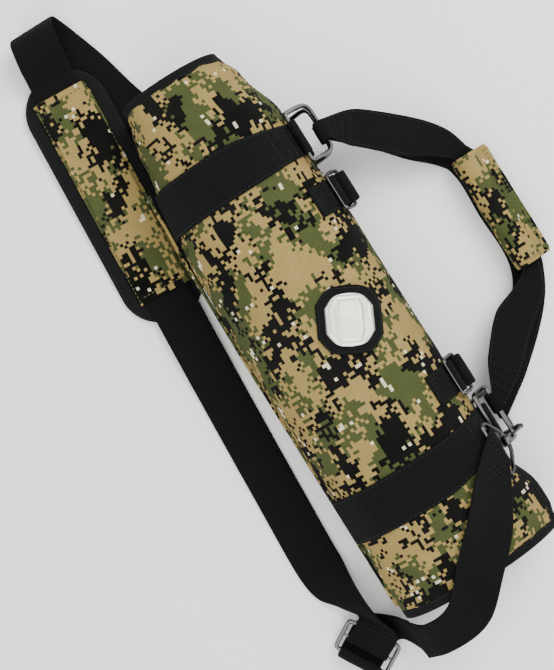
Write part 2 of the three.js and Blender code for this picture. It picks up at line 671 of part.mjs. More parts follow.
// From the line of the fold, over the front's corner and round the hook's loop.
function endRun(hookBar) {
  const over = (x, y, lift) => onFront(x, y, lift).toArray();
  const leave = vec(0.35, -0.85, 0.4).normalize();
  const side = vec(0, 0.42, 0.9).normalize();
  const loop = eye(hookBar, leave, side, vec(15, 0, 0)).reverse();
  const run = smoothStations([
    [[FOLD_CUT.x, FOLD.y, FOLD.z + FOLD_CUT.clearance], FOLD_CUT.half],
    [[246, -52, 66], [12, 4, 10]],
    [[238, -24, 87], [11, 9, 11]],
    [over(212, 4, 8), [15, 11, -3]],
    [over(192, 24, 7), [14, 12, -6]],
    [over(170, 42, 7), [16, 8, -7]],
    loop[0].map((v) => v.toArray()),
  ], 40);
  return [...run.slice(0, -1), ...loop];
}

// ---------------------------------------------------------------- shoulder pad and slider
function padBase() {
  const steps = 16;
  const layer = (z, edge) => Array.from({ length: steps + 1 }, (_, i) => {
    const u = 2 * i / steps - 1;
    const taper = Math.sqrt(1 - 0.8 * Math.max(0, (Math.abs(u) - 0.72) / 0.28) ** 2);
    const x = THREE.MathUtils.lerp(PAD.from, PAD.to, i / steps);
    return [-1, -0.8, 0, 0.8, 1].map((v) => (
      padPoint(x, v * PAD.halfWidth * taper, Math.abs(v) === 1 ? edge : z)));
  });
  return slab(layer(GAP + PAD.thickness, GAP + PAD.thickness - 1.5), layer(GAP, GAP + 1));
}

function padSleeve() {
  const foot = GAP + PAD.thickness + GAP + SLEEVE.thickness / 2;
  const roof = foot + SLEEVE.clear;
  const half = SLEEVE.halfWidth;
  const section = [[-half, foot], [1.8 - half, foot], [2.4 - half, foot + 0.8], [3 - half, roof],
    [half - 3, roof], [half - 2.4, foot + 0.8], [half - 1.8, foot], [half, foot]];
  return thicken([SLEEVE.from, SLEEVE.to].map((x) => (
    section.map(([across, z]) => padPoint(x, across, z)))), SLEEVE.thickness);
}

function addSlider() {
  const outline = dOutline({ width: SLIDER.length, corner: 3 }, SLIDER.width);
  addMetal('slider_frame', onBasis(
    wireLoop(outline, SLIDER.bar), sliderPoint(-SLIDER.width / 2), sliderAlong, sliderAcross));
  const length = SLIDER.length - 2 * (SLIDER.bar + GAP);
  const bar = new THREE.CylinderGeometry(SLIDER.centreBar, SLIDER.centreBar, length, 10);
  addMetal('slider_bar', onBasis(closed(bar), sliderPoint(0), sliderAcross.clone().negate(), sliderAlong));
}

// ---------------------------------------------------------------- swivel hook
// Returns the middle of the bar that the strap's end goes round.
function addHook(ringBar) {
  const shank = vec(0, ...HOOK.shank).normalize();
  const loop = vec(0, ...HOOK.loop).normalize();
  const neck = ringBar.clone().add(vec(HOOK.fromRing, 0, 0)).addScaledVector(shank, -HOOK.capture);
  const place = (geometry) => onBasis(geometry, neck, vec(1, 0, 0), shank);
  const local = (points) => points.map(([along, side]) => vec(0, along, side));

  const far = HOOK.loopLength;
  const outline = [[-4, 0], [4, 0], [8, 1.5], [20, far - 5], [21.5, far - 1.5], [20, far],
    [-20, far], [-21.5, far - 1.5], [-20, far - 5], [-8, 1.5]];
  addMetal('hook_loop', onBasis(wireLoop(outline, HOOK.loopWire), neck, vec(1, 0, 0), loop));
  addMetal('hook_body', place(wire(local([[2.1, 0], [8, 0], [14, -2], [19, -7], [25, -9], [32, -6.5],
    [35.5, 0], [33.5, 6], [30.5, 8]]), HOOK.wire, 30)));
  addMetal('hook_gate', place(wire(local([[8.2, 4], [17, 5.6], [26.4, 8]]), HOOK.gateWire, 6)));
  return neck.clone().addScaledVector(loop, far);
}

add('rear_cover', rearCover(), COLOURS.canvas);
add('front_cover', frontCover(), COLOURS.canvas);
add('rear_lining', lining(rearArc), COLOURS.lining);
add('front_lining', lining(frontArc), COLOURS.lining);
add('rear_binding', binding(rearArc, -1), COLOURS.black);
add('front_binding', binding(frontArc, 1), COLOURS.black);
add('spine_fold', spineFold(), COLOURS.canvas);
const frontBars = addBands('front', frontArc, 1, -BAND_LIFT - BAND.thickness / 2, FRONT_RINGS);
const rearBars = addBands('rear', rearArc, -1, BAND.thickness / 2, REAR_RINGS);
addHandles(frontBars, rearBars);
CLOSURE.at.forEach((x, i) => addClosure(x, i + 1));
add('badge_patch', frontPlate(BADGE.length, BADGE.width, 0.5, 3), COLOURS.black);
add('badge_plate', frontPlate(BADGE.plateLength, BADGE.plateWidth, 3.3, 4.5), COLOURS.plate, 0.6, 0.4);
POCKETS.at.forEach((y, i) => add(`stick_pocket_${i + 1}`, stickPocket(y), COLOURS.lining));
add('strap_anchor_ring', anchorRing(), COLOURS.metal);
add('strap_anchor_tab', anchorTab(), COLOURS.black);
add('shoulder_strap', ribbon(shoulderStrap(), STRAP.thickness), COLOURS.black);
add('strap_lower_run', ribbon(lowerRun(), STRAP.thickness), COLOURS.black);
const hookBar = addHook(frontBars[1]);
add('strap_end_run', ribbon(endRun(hookBar), STRAP.thickness), COLOURS.black);
add('shoulder_pad', padBase(), COLOURS.black);
add('pad_sleeve', padSleeve(), COLOURS.canvas);
addSlider();

export default bag;
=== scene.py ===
import math

import bpy
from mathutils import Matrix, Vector, noise


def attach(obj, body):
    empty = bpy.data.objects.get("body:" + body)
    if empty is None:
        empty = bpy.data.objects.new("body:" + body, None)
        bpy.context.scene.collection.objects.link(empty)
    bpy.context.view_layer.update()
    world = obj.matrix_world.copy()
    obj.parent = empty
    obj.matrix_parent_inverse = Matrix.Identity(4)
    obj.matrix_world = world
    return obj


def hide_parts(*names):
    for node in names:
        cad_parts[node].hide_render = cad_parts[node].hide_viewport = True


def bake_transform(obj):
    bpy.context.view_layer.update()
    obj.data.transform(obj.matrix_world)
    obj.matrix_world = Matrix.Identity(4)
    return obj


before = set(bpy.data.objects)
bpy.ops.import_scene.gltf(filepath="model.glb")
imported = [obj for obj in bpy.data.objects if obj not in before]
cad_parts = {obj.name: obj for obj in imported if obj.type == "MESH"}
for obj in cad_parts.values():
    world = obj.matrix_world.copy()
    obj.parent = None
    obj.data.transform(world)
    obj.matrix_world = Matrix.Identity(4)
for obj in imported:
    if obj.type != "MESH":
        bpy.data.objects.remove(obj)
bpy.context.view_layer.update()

MM = 0.001

# ---------- driving dimensions
# X runs along the bag, Y from its spine to its opening, and Z up from the floor it lies on.
HALF_LENGTH, SEAM_Z, GAP, WALL = 226, 40, 0.3, 5
FRONT_POWER, REAR_POWER = 2.1, 2.6
OPENING_EDGE = [(-226, 40), (-200, 50), (-160, 61), (-110, 62), (-80, 65), (130, 66), (206, 69),
                (226, 64)]
SPINE_EDGE = [(-226, -44), (-180, -52), (-140, -58), (-93, -62.5), (0, -65.5), (226, -65.5)]
FRONT_RISE = [(-226, 34), (-160, 48.5), (-110, 49.5), (-80, 50), (150, 50), (200, 43), (226, 36)]
UNDERSIDE = [(-226, 16), (-206, 14), (-188, 10), (-166, 0), (170, 0), (226, 4)]
BOTTOM_CROWN = 2
FOLD_Y, FOLD_FROM, FOLD_TO, FOLD_CLEARANCE = -66.5, -160, 214, 3.2
FOLD_OUTER, FOLD_INNER = 4.4, 3.2
BINDING_WIDTH, BINDING_THICKNESS = 8, 6
BINDING_OUTLINE = [(0, 0.7), (0.6, 0.96), (2.2, 1), (5.4, 1), (7.2, 0.8), (8, 0.4)]
COVER_END = HALF_LENGTH - BINDING_WIDTH - GAP
EDGE_HEIGHT = BINDING_WIDTH + 2 * GAP
LINING_INSET, LINING_THICKNESS = WALL + 2.5, 1.5
BAND_AT, BAND_WIDTH, BAND_THICKNESS, BAND_LIFT = (-136.5, 136.5), 38, 2, 0.5
LOOP_WIDTH, LOOP_RADIUS, LOOP_TURN = 28, 3.8, 4.2
EYE_RADIUS, EYE_STEPS = 4.4, 16
GROOVE_DEPTH = 2.5
RING_DEPTH = 22
FRONT_RINGS = [
    dict(name="upper", band=-136.5, x=-134, height=24, slope=(0.902, -0.432)),
    dict(name="lower", band=136.5, x=128, height=12, slope=(0.605, -0.796)),
]
REAR_RINGS = [
    dict(name="upper", band=-136.5, x=-134, height=14, slope=(0.78, 0.626)),
    dict(name="lower", band=136.5, x=131.5, height=14, slope=(0.9, -0.436)),
]
GRIP = dict(start=-57, end=43, y=167, z=19.5, half_width=11.5, half_height=11, fin=9)
CLOSURE_AT, CLOSURE_WIDTH, TAB_TOP, TAB_HEIGHT = (-83.5, 83.5), 25, 42, 24
CLOSURE_RING_DEPTH, CLOSURE_SLOPE, PATCH_LIFT = 15, (0.6, -0.8), 1.5
BADGE = dict(x=4, y=18, turn=math.radians(27), patch=(53, 50), plate=(40, 37))
POCKET_AT, POCKET_FROM, POCKET_TO, POCKET_WIDTH, POCKET_HEIGHT = (-12.5, 12.5), -135, 140, 24, 18
STRAP_WIDTH, STRAP_THICKNESS = 38, 2
LYING = 1.4  # height of the middle of webbing that lies on the floor
FOLD_CUT_X, FOLD_CUT_HALF, FOLD_CUT_CLEARANCE = 245, (16, 0, 1.5), 3.5
ANCHOR = Vector((-190, -24, 6))
ANCHOR_DEPTH = 16
PAD = dict(start=-287, end=-72, half=35, thickness=5, turn=-0.0607, rise=-0.0175, middle=(-180, -85.5))
SLEEVE = dict(start=-272, end=-91, half=23.5, thickness=1.6, clear=3.2)
SLIDER_MIDDLE, SLIDER_WIDTH = Vector((236, -105, 9.5)), 24
SLIDER_ALONG = Vector((0.865, 0.5, 0)).normalized()
HOOK_SHANK, HOOK_LOOP = Vector((0, 0.35, -0.937)).normalized(), Vector((0, -0.72, 0.69)).normalized()
HOOK_FROM_RING, HOOK_CAPTURE, HOOK_LOOP_LENGTH = 18.2, 30.8, 16


# ---------- number helpers
def vec(x, y, z):
    return Vector((x, y, z))


UP, OPENING_WAY = vec(0, 0, 1), vec(0, 1, 0)


def lerp(a, b, t):
    return a + (b - a) * t


def smoothstep(value, low, high):
    t = min(max((value - low) / (high - low), 0), 1)
    return t * t * (3 - 2 * t)


def spread(low, high, steps):
    return [lerp(low, high, i / steps) for i in range(steps + 1)]


def turn(first, last, steps):
    """(cosine, sine) pairs at equal steps between two angles in degrees."""
    return [(math.cos(math.radians(a)), math.sin(math.radians(a))) for a in spread(first, last, steps)]


def window(value, middle, half, soft):
    """1 within half of middle, easing to 0."""
    return 1 - smoothstep(abs(value - middle), half, half + soft)


def wave(x, y, z, size):
    """Smooth noise from -1 to 1 with features about size millimetres across."""
    return noise.noise(vec(x, y, z) / size)


# ---------- outline of the bag
def profile(table, x):
    """The value at x of a smooth curve through the table's pairs."""
    x = min(max(x, table[0][0]), table[-1][0])
    i = max(1, next(k for k, (at, _) in enumerate(table) if at >= x))
    (x0, y0), (x1, y1) = table[i - 1], table[i]
    return lerp(y0, y1, smoothstep(x, x0, x1))


def power(value, exponent):
    return math.copysign(abs(value) ** exponent, value)


def section_of(x, inset):
    """A section's middle and half-width along Y."""
    right, left = profile(OPENING_EDGE, x), profile(SPINE_EDGE, x)
    return (right + left) / 2, (right - left) / 2 - inset


def front_rise(x):
    return profile(FRONT_RISE, x)


def rear_drop(x):
    return SEAM_Z - profile(UNDERSIDE, x) + BOTTOM_CROWN


def front_point(x, angle, inset):
    middle, half = section_of(x, inset)
    y = middle - half * power(math.cos(angle), 2 / FRONT_POWER)
    return vec(x, y, SEAM_Z + (front_rise(x) - inset) * power(math.sin(angle), 2 / FRONT_POWER))


def rear_point(x, angle, inset):
    middle, half = section_of(x, inset)
    y = middle - half * power(math.cos(angle), 2 / REAR_POWER)
    z = SEAM_Z - (rear_drop(x) - inset) * power(math.sin(angle), 2 / REAR_POWER)
    return vec(x, y, max(z, profile(UNDERSIDE, x) + inset))


def edge_angle(height, depth, exponent):
    """The angle at which a section is that height away from the seam."""
    return math.asin((height / depth) ** (exponent / 2))


def arc_of(point, depth_of, exponent):
    """One half's section points, between a height at its spine and a height at its opening."""
    def arc(x, inset, start, end, steps):
        depth = depth_of(x) - inset
        first = edge_angle(start, depth, exponent)
        last = math.pi - edge_angle(end, depth, exponent)
        return [point(x, angle, inset) for angle in spread(first, last, steps)]
    return arc


front_arc = arc_of(front_point, front_rise, FRONT_POWER)
rear_arc = arc_of(rear_point, rear_drop, REAR_POWER)


def on_front(x, y, lift):
    """The point over (x, y) that stands a lift above the front cover."""
    middle, half = section_of(x, -lift)
    reach = min(1, abs((y - middle) / half))
    rise = (front_rise(x) + lift) * (1 - reach ** FRONT_POWER) ** (1 / FRONT_POWER)
    return vec(x, y, SEAM_Z + rise)


# ---------- curves and strips
def catmull(points, t):
    """Centripetal Catmull-Rom through the points, t from 0 to 1."""
    place = (len(points) - 1) * t
    i = min(int(place), len(points) - 2)
    w = place - i
    p1, p2 = points[i], points[i + 1]
    p0 = points[i - 1] if i > 0 else p1 * 2 - p2
    p3 = points[i + 2] if i + 2 < len(points) else p2 * 2 - p1
    d1 = math.sqrt((p2 - p1).length) or 1
    d0 = math.sqrt((p1 - p0).length) or d1
    d2 = math.sqrt((p3 - p2).length) or d1
    m1 = ((p1 - p0) / d0 - (p2 - p0) / (d0 + d1) + (p2 - p1) / d1) * d1
    m2 = ((p2 - p1) / d1 - (p3 - p1) / (d1 + d2) + (p3 - p2) / d2) * d1
    return (p1 + m1 * w + (p1 * -3 + p2 * 3 - m1 * 2 - m2) * w ** 2
            + (p1 * 2 - p2 * 2 + m1 + m2) * w ** 3)


def smooth_stations(controls, steps):
    """A strap's stations, each a (middle, half-width) pair, through its control pairs."""
    middles = [Vector(middle) for middle, _ in controls]
    halves = [Vector(half) for _, half in controls]
    return [(catmull(middles, t), catmull(halves, t)) for t in spread(0, 1, steps)]


def off_ground(stations):
    """Raises stations so that webbing lies on the floor and not in it."""
    return [(vec(m.x, m.y, max(m.z, LYING + abs(h.z))), h) for m, h in stations]


def eye(bar, leave, side, half, radius=EYE_RADIUS):
    """Stations of a webbing loop round a bar."""
    return [(bar + leave * radius * c + side * radius * s, half)
            for c, s in turn(-60, -270, EYE_STEPS)]


def curl(end, along, out, steps):
    """The bar's middle and the loop's points where webbing ends by curling out round a bar."""
    centre = end + out * LOOP_RADIUS
    angles = [LOOP_TURN * (i + 1) / steps for i in range(steps)]
    points = [centre - out * LOOP_RADIUS * math.cos(a) + along * LOOP_RADIUS * math.sin(a)
              for a in angles]
    return centre, points


# ---------- meshes
def piece(name, points, faces, material, body, slot, replaces=(), uvs=None):
    """A mesh object that rides on a body, or, where body is a pair of points, is left in place without a
    body. uvs holds one pair per point, in metres."""
    mesh = bpy.data.meshes.new(name)
    mesh.from_pydata([Vector(p) * MM for p in points], [], faces)
    if uvs:
        layer = mesh.uv_layers.new(name="UVMap")
        for loop in mesh.loops:
            layer.data[loop.index].uv = uvs[loop.vertex_index]
    mesh.shade_smooth()
    mesh.materials.append(material)
    obj = bpy.data.objects.new(name, mesh)
    bpy.context.scene.collection.objects.link(obj)
    if isinstance(body, tuple):
        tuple(body[0])
        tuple(body[1])
        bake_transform(obj)
    else:
        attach(obj, body)
    if replaces:
        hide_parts(*replaces)
    return obj


def strip_faces(rows, columns, start=0, around=False, flip=False):
    faces = []
    for i in range(rows - 1):
        for j in range(columns if around else columns - 1):
            k = (j + 1) % columns
            quad = (start + i * columns + j, start + (i + 1) * columns + j,
                    start + (i + 1) * columns + k, start + i * columns + k)
            faces.append(quad[::-1] if flip else quad)
    return faces


def tube_faces(rows, columns, start=0):
    """Faces of a tube of closed rings, with both ends capped."""
    first = tuple(range(start, start + columns))
    last = tuple(k + (rows - 1) * columns for k in first)
    return strip_faces(rows, columns, start, around=True) + [first, last[::-1]]


def lengths(points):
    """Distance along the points, in metres."""
    total = [0.0]
    for a, b in zip(points, points[1:]):
        total.append(total[-1] + (b - a).length * MM)
    return total


def shell(name, outer, inner, material, body, slot, replaces):
    """Closed cloth shell between two grids of points, with UVs in metres along both ways."""
    rows, columns = len(outer), len(outer[0])
    points = [p for row in outer for p in row] + [p for row in inner for p in row]
    along = lengths([row[columns // 2] for row in outer])
    uvs = []
    for layer in (outer, inner):
        for i, row in enumerate(layer):
            across = lengths(row)
            middle = across[columns // 2]
            uvs += [(along[i], v - middle) for v in across]
    under = rows * columns
    faces = strip_faces(rows, columns) + strip_faces(rows, columns, under, flip=True)
    for i in range(rows - 1):
        a, b = i * columns, (i + 1) * columns
        faces.append((a, under + a, under + b, b))
        a, b = a + columns - 1, b + columns - 1
        faces.append((b, under + b, under + a, a))
    for j in range(columns - 1):
        faces.append((j + 1, under + j + 1, under + j, j))
        a = (rows - 1) * columns + j
        faces.append((a, under + a, under + a + 1, a + 1))
    obj = piece(name, points, faces, material, body, slot, replaces, uvs)
    outward(obj)
    return obj


def outward(obj):
    """Turns a closed mesh's faces out."""
    mesh = obj.data
    volume = 0
    for face in mesh.polygons:
        a, *rest = [mesh.vertices[i].co for i in face.vertices]
        volume += sum(a.dot(b.cross(c)) for b, c in zip(rest, rest[1:]))
    if volume < 0:
        mesh.flip_normals()


def face_normals(stations):
    last = len(stations) - 1
    normals = []
    for i, (_, half) in enumerate(stations):
        tangent = stations[min(i + 1, last)][0] - stations[max(i - 1, 0)][0]
        normals.append(tangent.normalized().cross(half).normalized())
    return normals


def facing(stations, index, way):
    """1 if the strap's face at a station looks the way given, or else -1."""
    return 1 if face_normals(stations)[index].dot(way) > 0 else -1


SELVEDGE = [(-1, 0.45), (-0.94, 0.85), (-0.8, 1), (-0.4, 1), (0, 1), (0.4, 1), (0.8, 1),
            (0.94, 0.85), (1, 0.45)]
CREASE_FROM, CREASE_TO = 22, 60  # in stations from the nearer end


def webbing(name, stations, body, replaces, thickness=BAND_THICKNESS, ripple=0.12, crease=0.0):
    """Flat webbing with rounded, slightly uneven selvedges. A crease lifts its middle line."""
    normals = face_normals(stations)
    ring = SELVEDGE + [(c, -d) for c, d in SELVEDGE[::-1]]
    along = lengths([m for m, _ in stations])
    points, uvs = [], []
    for i, (middle, half) in enumerate(stations):
        ridge = crease * smoothstep(min(i, len(stations) - 1 - i), CREASE_FROM, CREASE_TO)
        for c, d in ring:
            p = middle + half * c
            lift = ripple * wave(p.x, p.y, p.z, 9) + ridge * (1 - abs(c) ** 1.3)
            points.append(p + normals[i] * (d * thickness / 2 + lift))
            uvs.append((along[i], c * half.length * MM))
    faces = tube_faces(len(stations), len(ring))
    outward(piece(name, points, faces, WEBBING, body, "webbing", replaces, uvs))


def stitch_points(row, normals, length, gap):
    """Start and end of each stitch along a row of points."""
    marks = lengths(row)
    place, i = gap * MM, 0
    while place + length * MM < marks[-1]:
        ends = []
        for target in (place, place + length * MM):
            while marks[i + 1] < target:
                i += 1
            t = (target - marks[i]) / max(marks[i + 1] - marks[i], 1e-9)
            ends.append((row[i].lerp(row[i + 1], t), normals[i]))
        yield ends
        place += (length + gap) * MM


STITCH_SHAPE, STITCH_RING = ((0, 0.35), (0.2, 1), (0.8, 1), (1, 0.35)), turn(0, 360, 6)[:-1]


def stitching(name, body, rows, material, slot, length=2.6, gap=1.1, radius=0.34):
    """One mesh with the stitches of several rows of (points, normals)."""
    points, faces = [], []
    for row, normals in rows:
        for (start, normal), (end, _) in stitch_points(row, normals, length, gap):
            along = (end - start).normalized()
            side = along.cross(normal).normalized()
            faces += tube_faces(len(STITCH_SHAPE), len(STITCH_RING), len(points))
            for t, size in STITCH_SHAPE:
                points += [start.lerp(end, t) + (normal * c + side * s) * radius * size
                           for c, s in STITCH_RING]
    piece(name, points, faces, material, body, slot)


def edge_row(stations, across, start, end, side):
    """A stitch row along one face of a strap, at a share of its half-width, between two stations."""
    chosen = list(zip(stations, face_normals(stations)))[start:end]
    row = [m + h * across + n * side * BAND_THICKNESS / 2 for (m, h), n in chosen]
    return row, [n * side for _, n in chosen]


def cross_row(stations, index, reach, side):
    """A stitch row across one face of a strap at a station."""
    (middle, half), normal = stations[index], face_normals(stations)[index]
    row = [middle + half * c + normal * side * BAND_THICKNESS / 2 for c in spread(-reach, reach, 6)]
    return row, [normal * side] * len(row)


def flat_row(points, normal=UP):
    """A stitch row whose stitches all face the same way."""
    return points, [normal] * len(points)


# ---------- materials
class Nodes:
    """Short calls for building a material's node tree."""

    def __init__(self, name, **sockets):
        self.material = bpy.data.materials.new(name)
        self.material.use_nodes = True
        self.tree = self.material.node_tree
        self.shader = self.tree.nodes["Principled BSDF"]
        for socket, value in sockets.items():
            self.shader.inputs[socket.replace("_", " ")].default_value = value

    def add(self, kind, inputs=(), **settings):
        node = self.tree.nodes.new("ShaderNode" + kind)
        for key, value in settings.items():
            setattr(node, key, value)
        self.feed(node, enumerate(inputs))
        return node

    def feed(self, node, inputs):
        """Links or sets a node's inputs, given as (index, value) pairs."""
        for index, value in inputs:
            if isinstance(value, bpy.types.NodeSocket):
                self.tree.links.new(value, node.inputs[index])
            elif value is not None:
                node.inputs[index].default_value = value

    def math(self, operation, a, b=0.0, c=0.0):
        return self.add("Math", (a, b, c), operation=operation).outputs[0]

    def vector(self, operation, a, b):
        return self.add("VectorMath", (a, b), operation=operation).outputs[0]

    def noise(self, vector, scale, detail=2.0, roughness=0.5):
        return self.add("TexNoise", (vector, None, scale, detail, roughness)).outputs["Fac"]

    def mix(self, factor, a, b, blend="MIX"):
        node = self.add("Mix", data_type="RGBA", blend_type=blend)
        self.feed(node, ((0, factor), (6, a), (7, b)))
        return node.outputs[2]

    def scale(self, value, low, high):
        """The value from 0..1 mapped to low..high."""
        return self.math("MULTIPLY_ADD", value, high - low, low)

    def to_shader(self, socket, output):
        self.tree.links.new(output, self.shader.inputs[socket])

    def bump(self, height, distance):
        node = self.add("Bump", (1.0, distance))
        self.tree.links.new(height, node.inputs["Height"])
        self.to_shader("Normal", node.outputs[0])


def grey(value, tint=(1, 1, 1)):
    return (*(value * share for share in tint), 1)


def woven_height(n, uv, across, along):
    """Basket weave: raised threads that pass over and under in turn. Returns 0..1."""
    parts = n.add("SeparateXYZ", (uv,)).outputs
    waves = [n.math("SINE", n.math("MULTIPLY", parts[k], 2 * math.pi / (size * MM)))
             for k, size in ((0, along), (1, across))]
    return n.scale(n.math("MULTIPLY", waves[0], waves[1]), 0.5, 1.0)


def twill_height(n, uv, pitch):
    """Diagonal ribs of a canvas twill. Returns 0..1."""
    parts = n.add("SeparateXYZ", (uv,)).outputs
    diagonal = n.math("ADD", parts[0], parts[1])
    rib = n.math("SINE", n.math("MULTIPLY", diagonal, 2 * math.pi / (pitch * MM)))
    thread = n.math("SINE", n.math("MULTIPLY", parts[1], 2 * math.pi / (pitch * 0.7 * MM)))
    both = n.math("ADD", n.math("MULTIPLY", rib, 0.35), n.math("MULTIPLY", thread, 0.15))
    return n.math("ADD", both, 0.5)


def cloth(name, colour, along, across, depth, roughness=0.85, painted_weave_shading=0.65):
    """Woven dark cloth, worn unevenly, with its thread crests painted lighter as a painted highlight and
    its hollows painted darker as painted shade. Its threads' pitches and depth are in millimetres.
    """
    n = Nodes(name, Roughness=roughness, Sheen_Weight=0.01, Sheen_Roughness=0.5,
              Specular_IOR_Level=0.07)
    uv = n.add("UVMap").outputs[0]
    weave = woven_height(n, uv, across, along)
    wear = n.noise(uv, 30, 4, 0.6)
    fuzz = n.noise(uv, 900)
    # painted highlight on the weave's crests and painted shade in its hollows, set by the weave's height
    base = n.mix(weave, grey(1 - painted_weave_shading, colour), grey(1 + 3.5 * painted_weave_shading, colour))
    worn = n.mix(n.scale(wear, -0.15, 0.5), base, grey(1.9, colour))
    n.to_shader("Base Color", n.mix(n.scale(fuzz, 0, 0.35), worn, grey(0.55, colour)))
    n.to_shader("Roughness", n.scale(wear, roughness - 0.12, roughness + 0.1))
    height = n.math("ADD", weave, n.math("MULTIPLY", fuzz, 0.35))
    n.bump(height, depth * MM)
    return n.material


CAMOUFLAGE_CELL, TWILL_PITCH = 2.6, 1.7
TAN, TAN_DARK = (0.345, 0.25, 0.088, 1), (0.265, 0.188, 0.06, 1)
GREEN, GREEN_DARK = (0.07, 0.086, 0.026, 1), (0.047, 0.056, 0.018, 1)
BLACK, OFF_WHITE = (0.0025, 0.0028, 0.0025, 1), (0.68, 0.6, 0.42, 1)


def camouflage(name, shift=(0.0, 0.0, 0.0)):
    """Square-cell camouflage printed on twill canvas, laid out on the cloth's own UVs."""
    n = Nodes(name, Roughness=0.88, Sheen_Weight=0.01, Sheen_Roughness=0.6, Specular_IOR_Level=0.06)
    uv = n.add("UVMap").outputs[0]
    cells = n.vector("SNAP", n.vector("ADD", uv, shift), (CAMOUFLAGE_CELL * MM,) * 3)
    grain = n.add("TexWhiteNoise", (cells,), noise_dimensions="3D").outputs["Value"]
    jitter = n.scale(grain, -0.075, 0.075)

    def patches(offset, scale, level):
        """1 in the cells where the noise passes a level."""
        stretched = n.vector("MULTIPLY", n.vector("ADD", cells, offset), (0.8, 1.15, 1))
        value = n.math("ADD", n.noise(stretched, scale, 2.5, 0.55), jitter)
        return n.math("GREATER_THAN", value, level)

    def tone(light, dark, scale):
        return n.mix(n.noise(uv, scale, 3), light, dark)

    colour = tone(TAN, TAN_DARK, 60)
    colour = n.mix(patches((3.1, 1.7, 0), 30, 0.5), colour, tone(GREEN, GREEN_DARK, 80))
    colour = n.mix(patches((7.7, 5.2, 0), 32, 0.545), colour, BLACK)
    colour = n.mix(patches((1.3, 9.9, 0), 75, 0.69), colour, OFF_WHITE)
    weave = twill_height(n, uv, TWILL_PITCH)
    fuzz = n.noise(uv, 700)
    # painted shade in the twill's hollows and painted highlight on its ribs, from the twill's height
    shade = n.mix(weave, grey(0.72), grey(1.18))
    colour = n.mix(1.0, colour, shade, "MULTIPLY")
    colour = n.mix(1.0, colour, n.mix(fuzz, grey(0.75), grey(1.25)), "MULTIPLY")
    dust = n.noise(uv, 14, 4, 0.6)
    n.to_shader("Base Color", n.mix(n.scale(dust, -0.02, 0.04), colour, grey(0.25, (1, 0.92, 0.75))))
    n.to_shader("Roughness", n.scale(fuzz, 0.78, 0.96))
    n.bump(n.math("ADD", weave, n.math("MULTIPLY", fuzz, 0.5)), 0.3 * MM)
    return n.material


def metal(name, colour, roughness):
    """Plated metal with fine scratches and dull spots."""
    n = Nodes(name, Metallic=1.0, Roughness=roughness)
    place = n.add("TexCoord").outputs["Object"]
    lines = n.noise(n.vector("MULTIPLY", place, (1, 6, 6)), 380, 4, 0.7)
    spots = n.noise(place, 130, 3)
    n.to_shader("Base Color", n.mix(spots, grey(0.82, colour), grey(1.08, colour)))
    dulled = n.math("MULTIPLY", lines, spots)
    n.to_shader("Roughness", n.scale(dulled, roughness - 0.05, roughness + 0.12))
    n.bump(lines, 0.03 * MM)
    return n.material


def thread(name, colour):
    n = Nodes(name, Roughness=0.6, Specular_IOR_Level=0.2)
    place = n.add("TexCoord").outputs["Object"]
    n.to_shader("Base Color", n.mix(n.noise(place, 900), grey(0.6, colour), grey(1.3, colour)))
    n.bump(n.noise(place, 1800), 0.1 * MM)
    return n.material


CANVAS = camouflage("camouflage_canvas")
CANVAS_REAR = camouflage("camouflage_canvas_rear", shift=(0.61, 0.23, 0.0))
CANVAS_PAD = camouflage("camouflage_canvas_pad", shift=(1.37, 0.4, 0.0))
CANVAS_GRIP = camouflage("camouflage_canvas_grip", shift=(2.2, 0.9, 0.0))
WEBBING = cloth("black_webbing", (0.0034, 0.0038, 0.0036), 2.4, 2.0, 0.9, painted_weave_shading=0.8)
BINDING = cloth("black_binding_tape", (0.004, 0.0043, 0.0042), 1.4, 1.4, 0.2)
LINING = cloth("dark_lining_cloth", (0.011, 0.0115, 0.012), 1.0, 1.0, 0.12, 0.75)
PAD_CLOTH = cloth("black_pad_cloth", (0.0046, 0.005, 0.0048), 2.0, 2.0, 0.3)
PATCH_CLOTH = cloth("black_patch_cloth", (0.0042, 0.0045, 0.0045), 0.9, 0.9, 0.2)
BLACK_THREAD = thread("black_thread", (0.011, 0.0115, 0.0115))
GREEN_THREAD = thread("olive_thread", (0.11, 0.13, 0.05))
NICKEL = metal("nickel_plate", (0.11, 0.108, 0.105), 0.24)
PALE_METAL = metal("pale_satin_metal", (0.74, 0.71, 0.64), 0.45)


# ---------- covers, linings, binding
COVER_REACH, COVER_STEPS = COVER_END + 2, 84
FLARE, FLARE_FROM, FLARE_TO = 5, 156, 190
LIP_OUT, LIP_DOWN = 0.85, 0.72


def flare_share(x):
    """How much the opening edge turns out at the bag's free corner, from 0 to 1."""
    return smoothstep(x, FLARE_FROM, FLARE_TO)


def flared(point):
    """Moves a point out with its opening edge, and hands it back."""
    low = 1 - smoothstep(abs(point.z - SEAM_Z), 6, 26)
    if point.y > 0:
        point.y += FLARE * flare_share(point.x) * low
    return point


def cover_relief(x, point, side):
    """How far the stuffed canvas stands out from the plain section, in millimetres."""
    free = 1.0
    for at in BAND_AT:
        free *= 1 - window(x, at, BAND_WIDTH / 2 + 1, 9)
    for at in CLOSURE_AT:
        free *= 1 - window(x, at, CLOSURE_WIDTH / 2 + 2, 5) * smoothstep(point.y, 34, 42)
    if side > 0:
        free *= 1 - window(x, BADGE["x"], 36, 8) * window(point.y, BADGE["y"], 34, 8)
    end = window(abs(x), HALF_LENGTH, 8, 16)
    swell = 0.3 + 0.9 * wave(x, point.y * 1.3, point.z, 60)
    swell += 0.5 * wave(x + 400, point.y, point.z, 24)
    pucker = 0.5 * math.sin(point.y / 3.1 + 2 * wave(x, point.y, 0, 30)) * end
    pulled = 0.5 * sum(window(x, at, BAND_WIDTH / 2 + 2, 14) for at in BAND_AT)
    return free * (swell + pucker - pulled)


